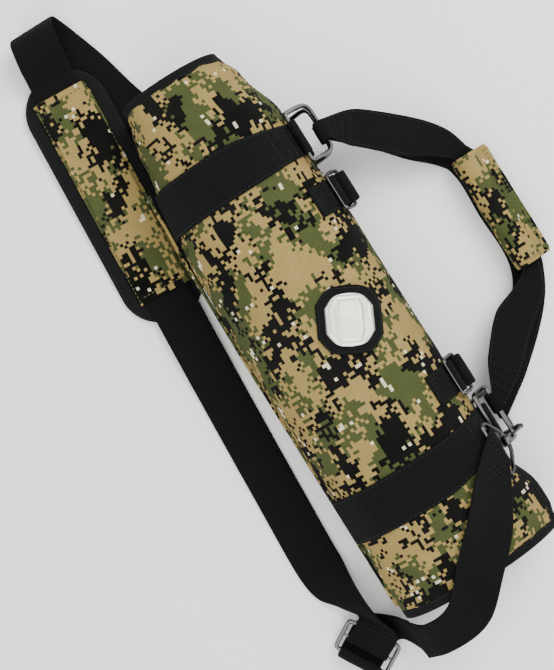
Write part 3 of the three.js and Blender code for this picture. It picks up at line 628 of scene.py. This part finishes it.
def cover(name, arc, side, material, node, body, groove):
    """One half's canvas. Its bands lie in grooves of the depth given."""
    def cover_arc(x, inset):
        return arc(x, inset, FOLD_CLEARANCE, EDGE_HEIGHT - 2, COVER_STEPS)

    outer, inner = [], []
    for x in spread(-COVER_REACH, COVER_REACH, 190):
        sunk = groove * max(window(x, at, BAND_WIDTH / 2 + 0.2, 1.2) for at in BAND_AT)
        middle = vec(x, 0, SEAM_Z)
        lifted = []
        for plain, base in zip(cover_arc(x, 0), cover_arc(x, sunk)):
            resting = side < 0 and plain.z < 1.5
            relief = 0 if resting else cover_relief(x, plain, side)
            lifted.append(flared(base + (plain - middle).normalized() * relief))
        outer.append(lifted)
        inner.append([flared(p) for p in cover_arc(x, WALL)])
    shell(name, outer, inner, material, body, "canvas", (node,))


cover("front_cover_cloth", front_arc, 1, CANVAS, "front_cover", "front_half", 0)
cover("rear_cover_cloth", rear_arc, -1, CANVAS_REAR, "rear_cover", "root", GROOVE_DEPTH)


def lining(name, arc, node, body):
    """One half's lining, a little loose."""
    def layer(inset):
        rows = []
        for x in spread(-COVER_END, COVER_END, 70):
            rows.append([p + vec(0, 0.25 * wave(p.x, p.y, p.z, 25), 0.35 * wave(p.x, p.y, p.z + 90, 30))
                         for p in arc(x, inset, EDGE_HEIGHT, EDGE_HEIGHT, 36)])
        return rows

    layers = layer(LINING_INSET), layer(LINING_INSET + LINING_THICKNESS)
    shell(name, *layers, LINING, body, "lining", (node,))


lining("front_lining_cloth", front_arc, "front_lining", "front_half")
lining("rear_lining_cloth", rear_arc, "rear_lining", "root")


def binding_frames(arc, side):
    """(point, outward way, face normal) along one half's bound edge."""
    middle = WALL / 2

    def end(x):
        points = arc(x, middle, FOLD_CLEARANCE + 3, EDGE_HEIGHT, 40)
        frames = []
        for i, point in enumerate(points):
            along = (points[min(i + 1, len(points) - 1)] - points[max(i - 1, 0)]).normalized()
            out = vec(math.copysign(1, x), 0, 0)
            frames.append((flared(point.copy()), out, vec(0, -along.z, along.y)))
        return frames

    first, last = end(-COVER_END - GAP), end(COVER_END + GAP)[::-1]
    down, level = vec(0, 0, -side), vec(0, side, 0)
    lip = vec(0, LIP_OUT, -LIP_DOWN * side)
    for frames, place in ((first, -1), (last, 0)):
        point, out, _ = frames[place]
        frames[place] = (point, out + down.lerp(lip, flare_share(point.x)), level)
    edge = []
    for x in spread(-200, 214, 70):
        point = flared(arc(x, middle, FOLD_CLEARANCE, EDGE_HEIGHT, 1)[1])
        out = down.lerp(lip, flare_share(x))
        edge.append((point, out, vec(0, -out.z, out.y).normalized()))
    return first + edge + last


def binding(name, arc, side, node, body):
    """Tape folded over one half's edge, with a stitch row on each face."""
    frames = binding_frames(arc, side)
    half = BINDING_THICKNESS / 2
    outline = BINDING_OUTLINE + [(reach, -depth) for reach, depth in BINDING_OUTLINE[::-1]]
    along = lengths([f[0] for f in frames])
    points, uvs = [], []
    for k, (point, out, normal) in enumerate(frames):
        ripple = 0.2 * wave(point.x, point.y, point.z, 7)
        for reach, depth in outline:
            points.append(point + out * reach + normal * (depth * (half + ripple)))
            uvs.append((along[k], (reach + 4 * depth) * MM))
    faces = tube_faces(len(frames), len(outline))
    outward(piece(name, points, faces, BINDING, body, "binding", (node,), uvs))
    rows = [([p + o * 1.6 + n * face * (half + 0.05) for p, o, n in frames],
             [n * face for _, _, n in frames]) for face in (1, -1)]
    stitching(name + "_stitching", body, rows, BLACK_THREAD, "binding")


binding("front_edge_binding", front_arc, 1, "front_binding", "front_half")
binding("rear_edge_binding", rear_arc, -1, "rear_binding", "root")


def fold_span(reach):
    """Two points across the spine's fold, below and above the seam."""
    return tuple(vec(0, FOLD_Y, SEAM_Z + z) * MM for z in (-reach, reach))


def spine_cloth():
    """Canvas that folds round the spine from one half's edge to the other's."""
    layers = []
    for radius in (FOLD_OUTER, FOLD_INNER):
        rows = []
        for x in spread(FOLD_FROM, FOLD_TO, 120):
            edge = profile(SPINE_EDGE, x)
            row = []
            for angle in spread(-62, 62, 14):
                a = math.radians(angle)
                r = radius + 0.25 * wave(x, angle, 0, 14)
                y = lerp(edge, FOLD_Y, 0.6) + 2.6 - r * math.cos(a)
                row.append(vec(x, y, SEAM_Z + r * math.sin(a)))
            rows.append(row)
        layers.append(rows)
    shell("spine_cloth", *layers, CANVAS_REAR, fold_span(2.5), "canvas", ("spine_fold",))


# ---------- bands
BAND_STEPS = 60


def band_stations(arc, side, inset, ring):
    """A band's stations over one half and round its ring's bar, and the bar's middle."""
    left, middle, right = [arc(ring["band"] + e * BAND_WIDTH / 2, inset, FOLD_CLEARANCE + 1,
                               ring["height"], BAND_STEPS) for e in (-1, 0, 1)]
    stations = []
    for i in range(BAND_STEPS + 1):
        eased = smoothstep(i, BAND_STEPS * 0.55, BAND_STEPS)
        x = lerp(ring["band"], ring["x"], eased)
        half = lerp(BAND_WIDTH, LOOP_WIDTH, eased) / 2
        a, b = left[i], right[i]
        a.x, b.x = x - half, x + half
        stations.append(((a + b) / 2, (b - a) / 2))
    along = (middle[-1] - middle[-2]).normalized()
    centre, loop = curl(middle[-1], along, vec(0, -along.z, along.y) * side, 20)
    for p in loop:
        stations.append((vec(ring["x"], p.y, p.z), vec(LOOP_WIDTH / 2, 0, 0)))
    return stations, vec(ring["x"], centre.y, centre.z)


def bands(half, arc, side, inset, rings, body):
    """One half's bands. Returns the middles of the bars that the handle hangs on."""
    bars, rows = [], []
    for ring in rings:
        stations, bar = band_stations(arc, side, inset, ring)
        name = f"{half}_band_{ring['name']}"
        webbing(name + "_webbing", stations, body, (name,))
        way = facing(stations, BAND_STEPS // 2, UP * side)
        rows += [edge_row(stations, across, 1, BAND_STEPS - 6, way) for across in (-0.9, 0.9)]
        rows += [cross_row(stations, BAND_STEPS - back, 0.85, way) for back in (4, 7, 11)]
        bars.append(bar + vec(0, *ring["slope"]) * RING_DEPTH)
    stitching(f"{half}_band_stitching", body, rows, BLACK_THREAD, "webbing", length=2.8, gap=1.2)
    return bars


front_bars = bands("front", front_arc, 1, -BAND_LIFT - BAND_THICKNESS / 2, FRONT_RINGS, "front_half")
rear_bars = bands("rear", rear_arc, -1, BAND_THICKNESS / 2, REAR_RINGS, "root")


# ---------- handle
LEAVE, LEAVE_SIDE = vec(0, 0.94, -0.342), vec(0, 0.342, 0.94)


def handle(name, bars, shifts, controls, body, node):
    """A handle strap that is looped and sewn round one ring's bar at each end."""
    start = eye(bars[0] + vec(shifts[0], 0, 0), LEAVE, LEAVE_SIDE, vec(8, 0, 0))
    end = eye(bars[1] + vec(shifts[1], 0, 0), LEAVE, LEAVE_SIDE, vec(-8, 0, 0))[::-1]
    run = smooth_stations([start[-1], *controls, end[0]], 190)
    stations = start + run[1:-1] + end
    webbing(name, stations, body, (node,), ripple=0.2)
    rows = []
    for side in (-1, 1):
        rows += [cross_row(stations, k, 0.8, side) for k in (18, 22, 26, 30, -31, -27, -23, -19)]
        rows += [edge_row(stations, across, 17, -17, side) for across in (-0.86, 0.86)]
    stitching(name + "_stitching", body, rows, BLACK_THREAD, "webbing", length=2.4, gap=1.0, radius=0.3)


def grip_wrap():
    """Canvas wrap round the handle: a padded tube whose two hemmed edges stand out as a fin."""
    start, end, wide, high = [GRIP[key] for key in ("start", "end", "half_width", "half_height")]
    sheet = 2.2
    middle = vec(0, GRIP["y"], GRIP["z"])
    tip = wide + GRIP["fin"] - 0.4
    fin = [(tip, 0.25), (tip, 1.5), (tip - 1.2, 1.75), (tip - 6, 1.5), (11.6, 2.0)]
    tube = [(wide * c, high * s) for c, s in turn(16, 344, 44)]
    outer, inner = [], []
    for x in spread(start, end, 60):
        inside = min(x - start, end - x)
        drawn = 1 - 0.06 * window(inside, 0, 1, 2.5)
        hem = 0.25 * window(inside, 6, 0.3, 0.8)
        row, under = [], []
        for y, z in fin + tube + [(y, -z) for y, z in fin[::-1]]:
            length = math.hypot(y, z)
            share = (length * drawn - hem + 0.45 * wave(x, y * 2, z * 2, 16)) / length
            row.append(middle + vec(x, y * share, z * share))
            share = (length - sheet) / length
            on_tube = length < wide + 0.9
            under.append(middle + (vec(x, y * share, z * share) if on_tube
                                   else vec(x, min(y - 2.6, 10), z * 0.15)))
        outer.append(row)
        inner.append(under)
    obj = shell("grip_wrap_cloth", outer, inner, CANVAS_GRIP, "front_handle", "canvas", ("grip_wrap",))
    rows = []
    for face in (1, -1):
        for y in (tip - 2.4, tip - 4.4):
            line = [middle + vec(x, y, 1.85 * face) for x in spread(start + 2, end - 2, 60)]
            rows.append(flat_row(line, UP * face))
    ring = turn(20, 340, 60)
    for x in (start + 3.5, end - 3.5):
        line = [middle + vec(x, 11.4 * c, 10.95 * s) for c, s in ring]
        rows.append((line, [vec(0, c, s) for c, s in ring]))
    stitching("grip_wrap_stitching", "front_handle", rows, GREEN_THREAD, "canvas")


handle("front_handle_webbing", front_bars, (4, -8), [
    ((-120, 101, 51), (12, -8, 0)), ((-94, 134, 36), (12, -10, 0)), ((-74, 158, 25), (7, -9, 0)),
    *[((x, GRIP["y"], GRIP["z"]), (0, -7.5, 0)) for x in (-58, -45, -8, 30, 44)],
    ((60, 155, 23), (-8, -9, 0)), ((74, 131, 30), (-12, -10, 0)), ((98, 106, 38), (-11, -9, 0)),
], "front_handle", "front_handle_strap")
handle("rear_handle_webbing", rear_bars, (4, -3), [
    ((-120, 106, 34), (12, -8, 0)), ((-92, 137, 18), (12, -10, 0)), ((-68, 160, 5), (8, -10, 0)),
    *[((x, 170, 1.6), (0, -14, 0)) for x in (-48, -10, 34)],
    ((62, 158, 2.4), (-6, -12, 0)), ((86, 132, 8), (-12, -10, 0)), ((106, 110, 15), (-11, -8, 0)),
], "rear_handle", "rear_handle_strap")
grip_wrap()


# ---------- closures and badge
def rear_flank(x, depth, lift):
    """A point on the opening side of the rear half, that far below the seam."""
    return rear_point(x, math.pi - edge_angle(depth, rear_drop(x) + lift, REAR_POWER), -lift)


def front_angle(x, y):
    """The section's angle at the front cover's point over y."""
    middle, half = section_of(x, 0)
    return math.pi - math.acos(((y - middle) / half) ** (FRONT_POWER / 2))


def closure(x, number):
    """A tab that holds a ring, the closing strap that hangs on the ring, and the patch under it."""
    lift = BAND_LIFT + BAND_THICKNESS / 2
    half = vec(CLOSURE_WIDTH / 2, 0, 0)
    last = math.pi - edge_angle(TAB_HEIGHT, front_rise(x), FRONT_POWER)
    surface = [front_point(x, a, -lift) for a in spread(front_angle(x, TAB_TOP), last, 24)]
    along = (surface[-1] - surface[-2]).normalized()
    centre, loop = curl(surface[-1], along, vec(0, -along.z, along.y), 16)
    tab = [(p, half) for p in surface + loop]
    webbing(f"closure_tab_webbing_{number}", tab, "front_half", (f"closure_tab_{number}",))
    side = facing(tab, 2, UP)
    rows = [cross_row(tab, k, 0.85, side) for k in (2, 5, 18, 21)]
    rows += [edge_row(tab, across, 2, 22, side) for across in (-0.85, 0.85)]
    stitching(f"closure_tab_stitching_{number}", "front_half", rows, BLACK_THREAD, "webbing", radius=0.3)

    bar = centre + vec(0, *CLOSURE_SLOPE) * CLOSURE_RING_DEPTH
    lie = PATCH_LIFT + 2 * GAP + BAND_THICKNESS / 2
    controls = [vec(x, bar.y + 3.4, 46), vec(x, 70, 36), rear_flank(x, 15, lie), rear_flank(x, 23, lie)]
    loop = eye(bar, -UP, OPENING_WAY, half)
    strap = loop + smooth_stations([loop[-1], *[(p, half) for p in controls]], 50)[1:]
    body = f"closure_{number}"
    webbing(f"closing_strap_webbing_{number}", strap, body, (f"closing_strap_{number}",))
    side = facing(strap, 30, OPENING_WAY)
    rows = [cross_row(strap, k, 0.85, side) for k in (20, 24, 62)]
    rows += [edge_row(strap, across, 20, 64, side) for across in (-0.86, 0.86)]
    stitching(f"closing_strap_stitching_{number}", body, rows, BLACK_THREAD, "webbing", radius=0.3)

    reach = CLOSURE_WIDTH / 2 + 1
    layers = [[[rear_flank(u, d, top + 0.12 * wave(u, d, 0, 1.3)) for d in spread(26, 11, 16)]
               for u in spread(x - reach, x + reach, 26)] for top in (PATCH_LIFT, PATCH_LIFT - 1)]
    shell(f"closure_patch_pile_{number}", *layers, PATCH_CLOTH, "root", "patch",
          (f"closure_patch_{number}",))


for number, place in enumerate(CLOSURE_AT, 1):
    closure(place, number)


def on_badge(u, v, size, lift):
    """A point at shares u and v of a rounded six-sided outline's length and width."""
    along = u * size[0] / 2
    across = v * size[1] / 2 * min(1, 1.35 - 0.75 * abs(u)) * math.sqrt(max(0.0, 1 - abs(u) ** 14))
    c, s = math.cos(BADGE["turn"]), math.sin(BADGE["turn"])
    return on_front(BADGE["x"] + along * c + across * s, BADGE["y"] - along * s + across * c, lift)


def badge_part(name, size, low, height_at, material, slot, node):
    """A plate that follows the cover. Its top's height depends on the share of the way to its rim."""
    shares = spread(-1, 1, 60)
    outer = [[on_badge(u, v, size, height_at(max(abs(u) ** 3, abs(v)))) for v in shares]
             for u in shares]
    inner = [[on_badge(u, v, size, low) for v in shares] for u in shares]
    shell(name, outer, inner, material, "front_half", slot, (node,))


def patch_height(e):
    return 2.6 + 0.5 * window(e, 0.9, 0.04, 0.04) - 1.2 * smoothstep(e, 0.95, 1)


def plate_height(e):
    raised = 0.5 * window(e, 0.88, 0.05, 0.03) + 0.3 * window(e, 0.5, 0.03, 0.05)
    return 4.1 + raised - 0.6 * smoothstep(e, 0.96, 1)


def badge_stitching():
    row = []
    for cosine, sine in turn(0, 360, 90):
        reach = 1 / max(abs(cosine), abs(sine))
        row.append(on_badge(cosine * reach * 0.9, sine * reach * 0.93, BADGE["patch"], 3.15))
    stitching("badge_stitching", "front_half", [flat_row(row, vec(0, 0.2, 0.98))], BLACK_THREAD, "patch",
              length=2.0, gap=0.8)


badge_part("badge_patch_cloth", BADGE["patch"], 0.5, patch_height, PATCH_CLOTH, "patch", "badge_patch")
badge_part("badge_plate_metal", BADGE["plate"], 3.2, plate_height, PALE_METAL, "plate", "badge_plate")
badge_stitching()


# ---------- stick pockets
def pocket(y, number):
    """A sleeve of thin cloth, open below, that is sewn to the rear lining by its two feet."""
    foot, sheet, corner = 3, 1.5, 3
    bed = LINING_INSET + LINING_THICKNESS + 1 + sheet / 2
    top, half = bed + POCKET_HEIGHT, POCKET_WIDTH / 2 - sheet
    wall = foot - half
    corners = [(-half, bed), (wall, bed), (wall, top - corner), (wall + corner, top)]
    corners += [(-across, z) for across, z in corners[::-1]]
    section = []
    for (a, b), (c, d) in zip(corners, corners[1:]):
        section += [(lerp(a, c, t), lerp(b, d, t)) for t in (0, 0.25, 0.5, 0.75)]
    section.append(corners[-1])

    def layer(shift):
        rows = []
        for x in spread(POCKET_FROM, POCKET_TO, 60):
            row = []
            for k, (across, z) in enumerate(section):
                a, b = section[max(k - 1, 0)], section[min(k + 1, len(section) - 1)]
                length = math.hypot(b[0] - a[0], b[1] - a[1])
                ny, nz = -(b[1] - a[1]) / length, (b[0] - a[0]) / length
                sag = 0.3 * wave(x, across * 2, z, 28)
                row.append(vec(x, y + across + ny * (shift + sag), z + nz * (shift + sag * 0.3)))
            rows.append(row)
        return rows

    shell(f"stick_pocket_cloth_{number}", layer(sheet / 2), layer(-sheet / 2), LINING, "root", "lining",
          (f"stick_pocket_{number}",))
    xs = spread(POCKET_FROM + 2, POCKET_TO - 2, 80)
    rows = [flat_row([vec(x, y + across, bed + 1) for x in xs]) for across in (1.3 - half, half - 1.3)]
    stitching(f"stick_pocket_stitching_{number}", "root", rows, BLACK_THREAD, "lining")


for number, place in enumerate(POCKET_AT, 1):
    pocket(place, number)


# ---------- shoulder strap
PAD_WAY = vec(1, PAD["turn"], 0).normalized()
PAD_ACROSS = vec(-PAD_WAY.y, PAD_WAY.x, 0)
OVER_PAD = PAD["thickness"] + GAP + 0.5 + STRAP_THICKNESS / 2
SLIDER_ACROSS = vec(-SLIDER_ALONG.y, SLIDER_ALONG.x, 0)
SLIDER_HALF = SLIDER_ALONG * (STRAP_WIDTH / 2 - 1)


def pad_point(x, across, z):
    """A point on the pad's slanting bed, across its middle line and above it."""
    y = PAD["middle"][1] + (x - PAD["middle"][0]) * PAD["turn"]
    return vec(x + across * PAD_ACROSS.x, y + across * PAD_ACROSS.y, z + (x - PAD["end"]) * PAD["rise"])


def shoulder_strap():
    """The strap from its ring under the bag, over the pad's base, to the slider's centre bar."""
    flat = (0, STRAP_WIDTH / 2, 0)
    bar = ANCHOR - vec(ANCHOR_DEPTH, 0, 0)
    loop = eye(bar, vec(-1, 0, 0), -UP, vec(0, STRAP_WIDTH / 2 - 2, 0), 3.6)
    slider = eye(SLIDER_MIDDLE, SLIDER_ACROSS, UP, SLIDER_HALF, 2.8)
    under_bag = [(-222, -34, LYING), (-245, -43, LYING), (-280, -52, LYING)]
    turned = [(-304, -60, 3), (-319, -66, 9), (-325, -70, 18), (-320, -73, 27), (-309, -75, 29),
              (-299, -77, 23), (-292, -78, 15)]
    over_pad = [pad_point(x, 0, OVER_PAD) for x in (-282, -272, -180, -91, -72, -45)]
    lying = [(-20, -95.2, 4.5), (5, -96.7, LYING), (90, -101, LYING)]
    run = off_ground(smooth_stations([
        loop[-1], *[(place, flat) for place in under_bag + turned + over_pad + lying],
        ((160, -104, 2.5), (1, 19, 1)), ((188, -103, 10), (4, 16, 8)), ((207, -96, 18), (9, 11, 11)),
        ((225, -89, 17), (14, 9, 4)), slider[-1],
    ], 420)[1:-1])
    stations = loop + run + slider[::-1]
    webbing("shoulder_strap_webbing", stations, "root", ("shoulder_strap",), ripple=0.18)
    rows = [cross_row(stations, k, 0.8, side) for side in (-1, 1) for k in (19, 22, 25, 420, 424)]
    stitching("shoulder_strap_stitching", "root", rows, BLACK_THREAD, "webbing", radius=0.3)


def hook_neck():
    """Where the hook's shank turns in its loop."""
    return front_bars[1] + vec(HOOK_FROM_RING, 0, 0) - HOOK_SHANK * HOOK_CAPTURE


def strap_end():
    """The strap from the slider, across the fold and over the front's corner to the hook's loop."""
    side_bar = SLIDER_MIDDLE - SLIDER_ACROSS * (SLIDER_WIDTH / 2)
    slider = eye(side_bar, SLIDER_ACROSS, -UP, SLIDER_HALF, 5)
    lower = smooth_stations([
        slider[-1], ((236, -105, 4.5), (15.6, 9, 0)), ((231, -95, 4.5), (15.6, 9, 0)),
        ((230, -85, 7), (15, 7, 4)), ((239, -72, 22), (16, 3, 3)),
        ((FOLD_CUT_X, FOLD_Y, SEAM_Z - FOLD_CUT_CLEARANCE), FOLD_CUT_HALF),
    ], 90)
    bar = hook_neck() + HOOK_LOOP * HOOK_LOOP_LENGTH
    leave, side = vec(0.35, -0.85, 0.4).normalized(), vec(0, 0.42, 0.9).normalized()
    loop = eye(bar, leave, side, vec(15, 0, 0))[::-1]
    upper = smooth_stations([
        ((FOLD_CUT_X, FOLD_Y, SEAM_Z + FOLD_CUT_CLEARANCE), FOLD_CUT_HALF),
        ((246, -52, 66), (12, 4, 10)), ((238, -24, 87), (11, 9, 11)),
        (on_front(212, 4, 8), (15, 11, -3)), (on_front(192, 24, 7), (14, 12, -6)),
        (on_front(170, 42, 7), (16, 8, -7)), loop[0],
    ], 150)
    stations = slider + lower[1:] + upper + loop[1:]
    webbing("strap_end_webbing", stations, fold_span(3), ("strap_lower_run", "strap_end_run"),
            ripple=0.15, crease=2.6)
    side = facing(stations, -60, UP)
    rows = [cross_row(stations, -k, 0.8, side) for k in (19, 22, 25, 29, 33)]
    stitching("strap_end_stitching", "front_half", rows, BLACK_THREAD, "webbing", radius=0.32)


def pad_x(u):
    return lerp(PAD["start"], PAD["end"], (u + 1) / 2)


def on_pad(u, v, z):
    """A point at shares u and v of the pad's length and width. Its ends are rounded."""
    taper = math.sqrt(1 - 0.8 * max(0, (abs(u) - 0.72) / 0.28) ** 2)
    return pad_point(pad_x(u), v * PAD["half"] * taper, z)


def pad_top(u, v):
    """Height of the crowned foam, with a stitched channel inside its rim."""
    rim = max(abs(v), abs(u) ** 10)
    crown = 1 - smoothstep(rim, 0.8, 1)
    swell = (1.5 + 0.25 * wave(pad_x(u), v * 35, 0, 18)) * crown
    return GAP + 3.4 + swell - 0.7 * window(rim, 0.82, 0.01, 0.03) - 1.5 * smoothstep(rim, 0.96, 1)


def pad_underside(u, v):
    return GAP + 1.3 * smoothstep(max(abs(v), abs(u) ** 10), 0.9, 1)


def pad_base():
    """Foam pad under cloth, stitched round twice."""
    layers = [[[on_pad(u, v, height(u, v)) for v in spread(-1, 1, 40)] for u in spread(-1, 1, 110)]
              for height in (pad_top, pad_underside)]
    obj = shell("shoulder_pad_cushion", *layers, PAD_CLOTH, "pad", "pad", ("shoulder_pad",))
    rows = [flat_row([on_pad(u, v, GAP + 3.9) for u in spread(-0.96, 0.96, 90)])
            for v in (-0.82, 0.82, -0.93, 0.93)]
    stitching("shoulder_pad_stitching", "pad", rows, BLACK_THREAD, "pad")


def pad_sleeve():
    """Camouflage sleeve over the pad, stitched down both sides and across its hemmed ends."""
    foot = GAP + PAD["thickness"] + GAP + SLEEVE["thickness"] / 2
    roof, half = foot + SLEEVE["clear"], SLEEVE["half"]

    def layer(shift):
        rows = []
        for x in spread(SLEEVE["start"], SLEEVE["end"], 120):
            inside = min(x - SLEEVE["start"], SLEEVE["end"] - x)
            hem = 0.3 * window(inside, 5, 0.5, 0.8) if shift > 0 else 0
            row = []
            for across in spread(-half, half, 56):
                rise = 1 - smoothstep(abs(across), half - 3.4, half - 1.8)
                z = lerp(foot, roof, rise) + shift + hem
                z += rise * (0.35 * wave(x, across, 0, 26) + 0.15 * wave(x, across, 50, 9))
                row.append(pad_point(x, across, z))
            rows.append(row)
        return rows

    thick = SLEEVE["thickness"] / 2
    shell("pad_sleeve_cloth", layer(thick), layer(-thick), CANVAS_PAD, "pad", "canvas", ("pad_sleeve",))
    xs, ys = spread(SLEEVE["start"] + 1, SLEEVE["end"] - 1, 90), spread(4 - half, half - 4, 30)
    rows = [flat_row([pad_point(x, y, foot + thick + 0.15) for x in xs]) for y in (1 - half, half - 1)]
    rows += [flat_row([pad_point(x, y, roof + thick + 0.4) for y in ys])
             for x in (SLEEVE["start"] + 5, SLEEVE["end"] - 5)]
    stitching("pad_sleeve_stitching", "pad", rows, GREEN_THREAD, "canvas")


def anchor_tab():
    """Short tab under the bag that holds the ring at the strap's other end."""
    radius = 2.8
    path = [ANCHOR + vec(-x, 0, radius) for x in (9, 6, 3)]
    path += [ANCHOR + vec(radius * c, 0, radius * s) for c, s in turn(90, -144, 24)]
    stations = [(p, vec(0, 15, 0)) for p in path]
    webbing("strap_anchor_webbing", stations, "root", ("strap_anchor_tab",), thickness=1.2, ripple=0.05)


spine_cloth()
shoulder_strap()
strap_end()
pad_base()
pad_sleeve()
anchor_tab()


# ---------- metal parts kept from the CAD
for node in ("front_d_ring_upper", "front_d_ring_lower", "rear_d_ring_upper", "rear_d_ring_lower",
             "closure_ring_1", "closure_ring_2", "strap_anchor_ring", "slider_frame", "slider_bar",
             "hook_loop", "hook_body", "hook_gate"):
    for material_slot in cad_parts[node].material_slots:
        material_slot.material = NICKEL


def hook_collar():
    """Turned collar where the hook's shank swivels in its loop."""
    outline = [(-3.4, 0.2), (-3.4, 3.2), (-2.9, 3.7), (-1.6, 3.9), (-1.0, 3.3), (0.6, 3.3), (1.2, 3.9),
               (2.4, 3.7), (3.0, 2.9), (3.0, 2.3)]
    ring = turn(0, 360, 28)[:-1]
    side = vec(1, 0, 0)
    across = HOOK_SHANK.cross(side).normalized()
    points = [hook_neck() + HOOK_SHANK * along + (side * c + across * s) * radius
              for along, radius in outline for c, s in ring]
    faces = tube_faces(len(outline), len(ring))
    outward(piece("hook_swivel_collar", points, faces, NICKEL, "hook", "nickel"))


hook_collar()


# ---------- floor, light and camera
def floor():
    n = Nodes("pale_floor", Roughness=0.9)
    place = n.add("TexCoord").outputs["Object"]
    n.to_shader("Base Color", n.mix(n.noise(place, 6, 3), grey(0.93), grey(0.96)))
    mesh = bpy.data.meshes.new("floor")
    mesh.from_pydata([(-6, -6, 0), (6, -6, 0), (6, 6, 0), (-6, 6, 0)], [], [(0, 1, 2, 3)])
    mesh.materials.append(n.material)
    obj = bpy.data.objects.new("floor", mesh)
    obj.location.z = -0.0005
    bpy.context.scene.collection.objects.link(obj)


def softbox(name, place, watts, size):
    """A square light that faces the bag."""
    data = bpy.data.lights.new(name, "AREA")
    data.energy, data.size = watts, size
    light = bpy.data.objects.new(name, data)
    light.location = place
    light.rotation_euler = (vec(0, 0, 0.04) - Vector(place)).to_track_quat("-Z", "Y").to_euler()
    bpy.context.scene.collection.objects.link(light)


floor()
softbox("key", (-0.5, 0.9, 1.3), 26, 0.9)
softbox("fill", (0.9, -0.7, 1.2), 14, 1.2)
softbox("top", (0, 0, 2.2), 22, 1.8)
world = bpy.data.worlds.new("studio")
world.use_nodes = True
background = world.node_tree.nodes["Background"].inputs
background[0].default_value = (1, 1, 1, 1)
background[1].default_value = 0.75
bpy.context.scene.world = world

lens = bpy.data.cameras.new("camera")
lens.lens, lens.sensor_width = 74.4, 36
camera = bpy.data.objects.new("camera", lens)
camera.location = (-0.015, -0.034, 1.122)
camera.rotation_euler = (0, 0, math.radians(58))
bpy.context.scene.collection.objects.link(camera)
bpy.context.scene.camera = camera
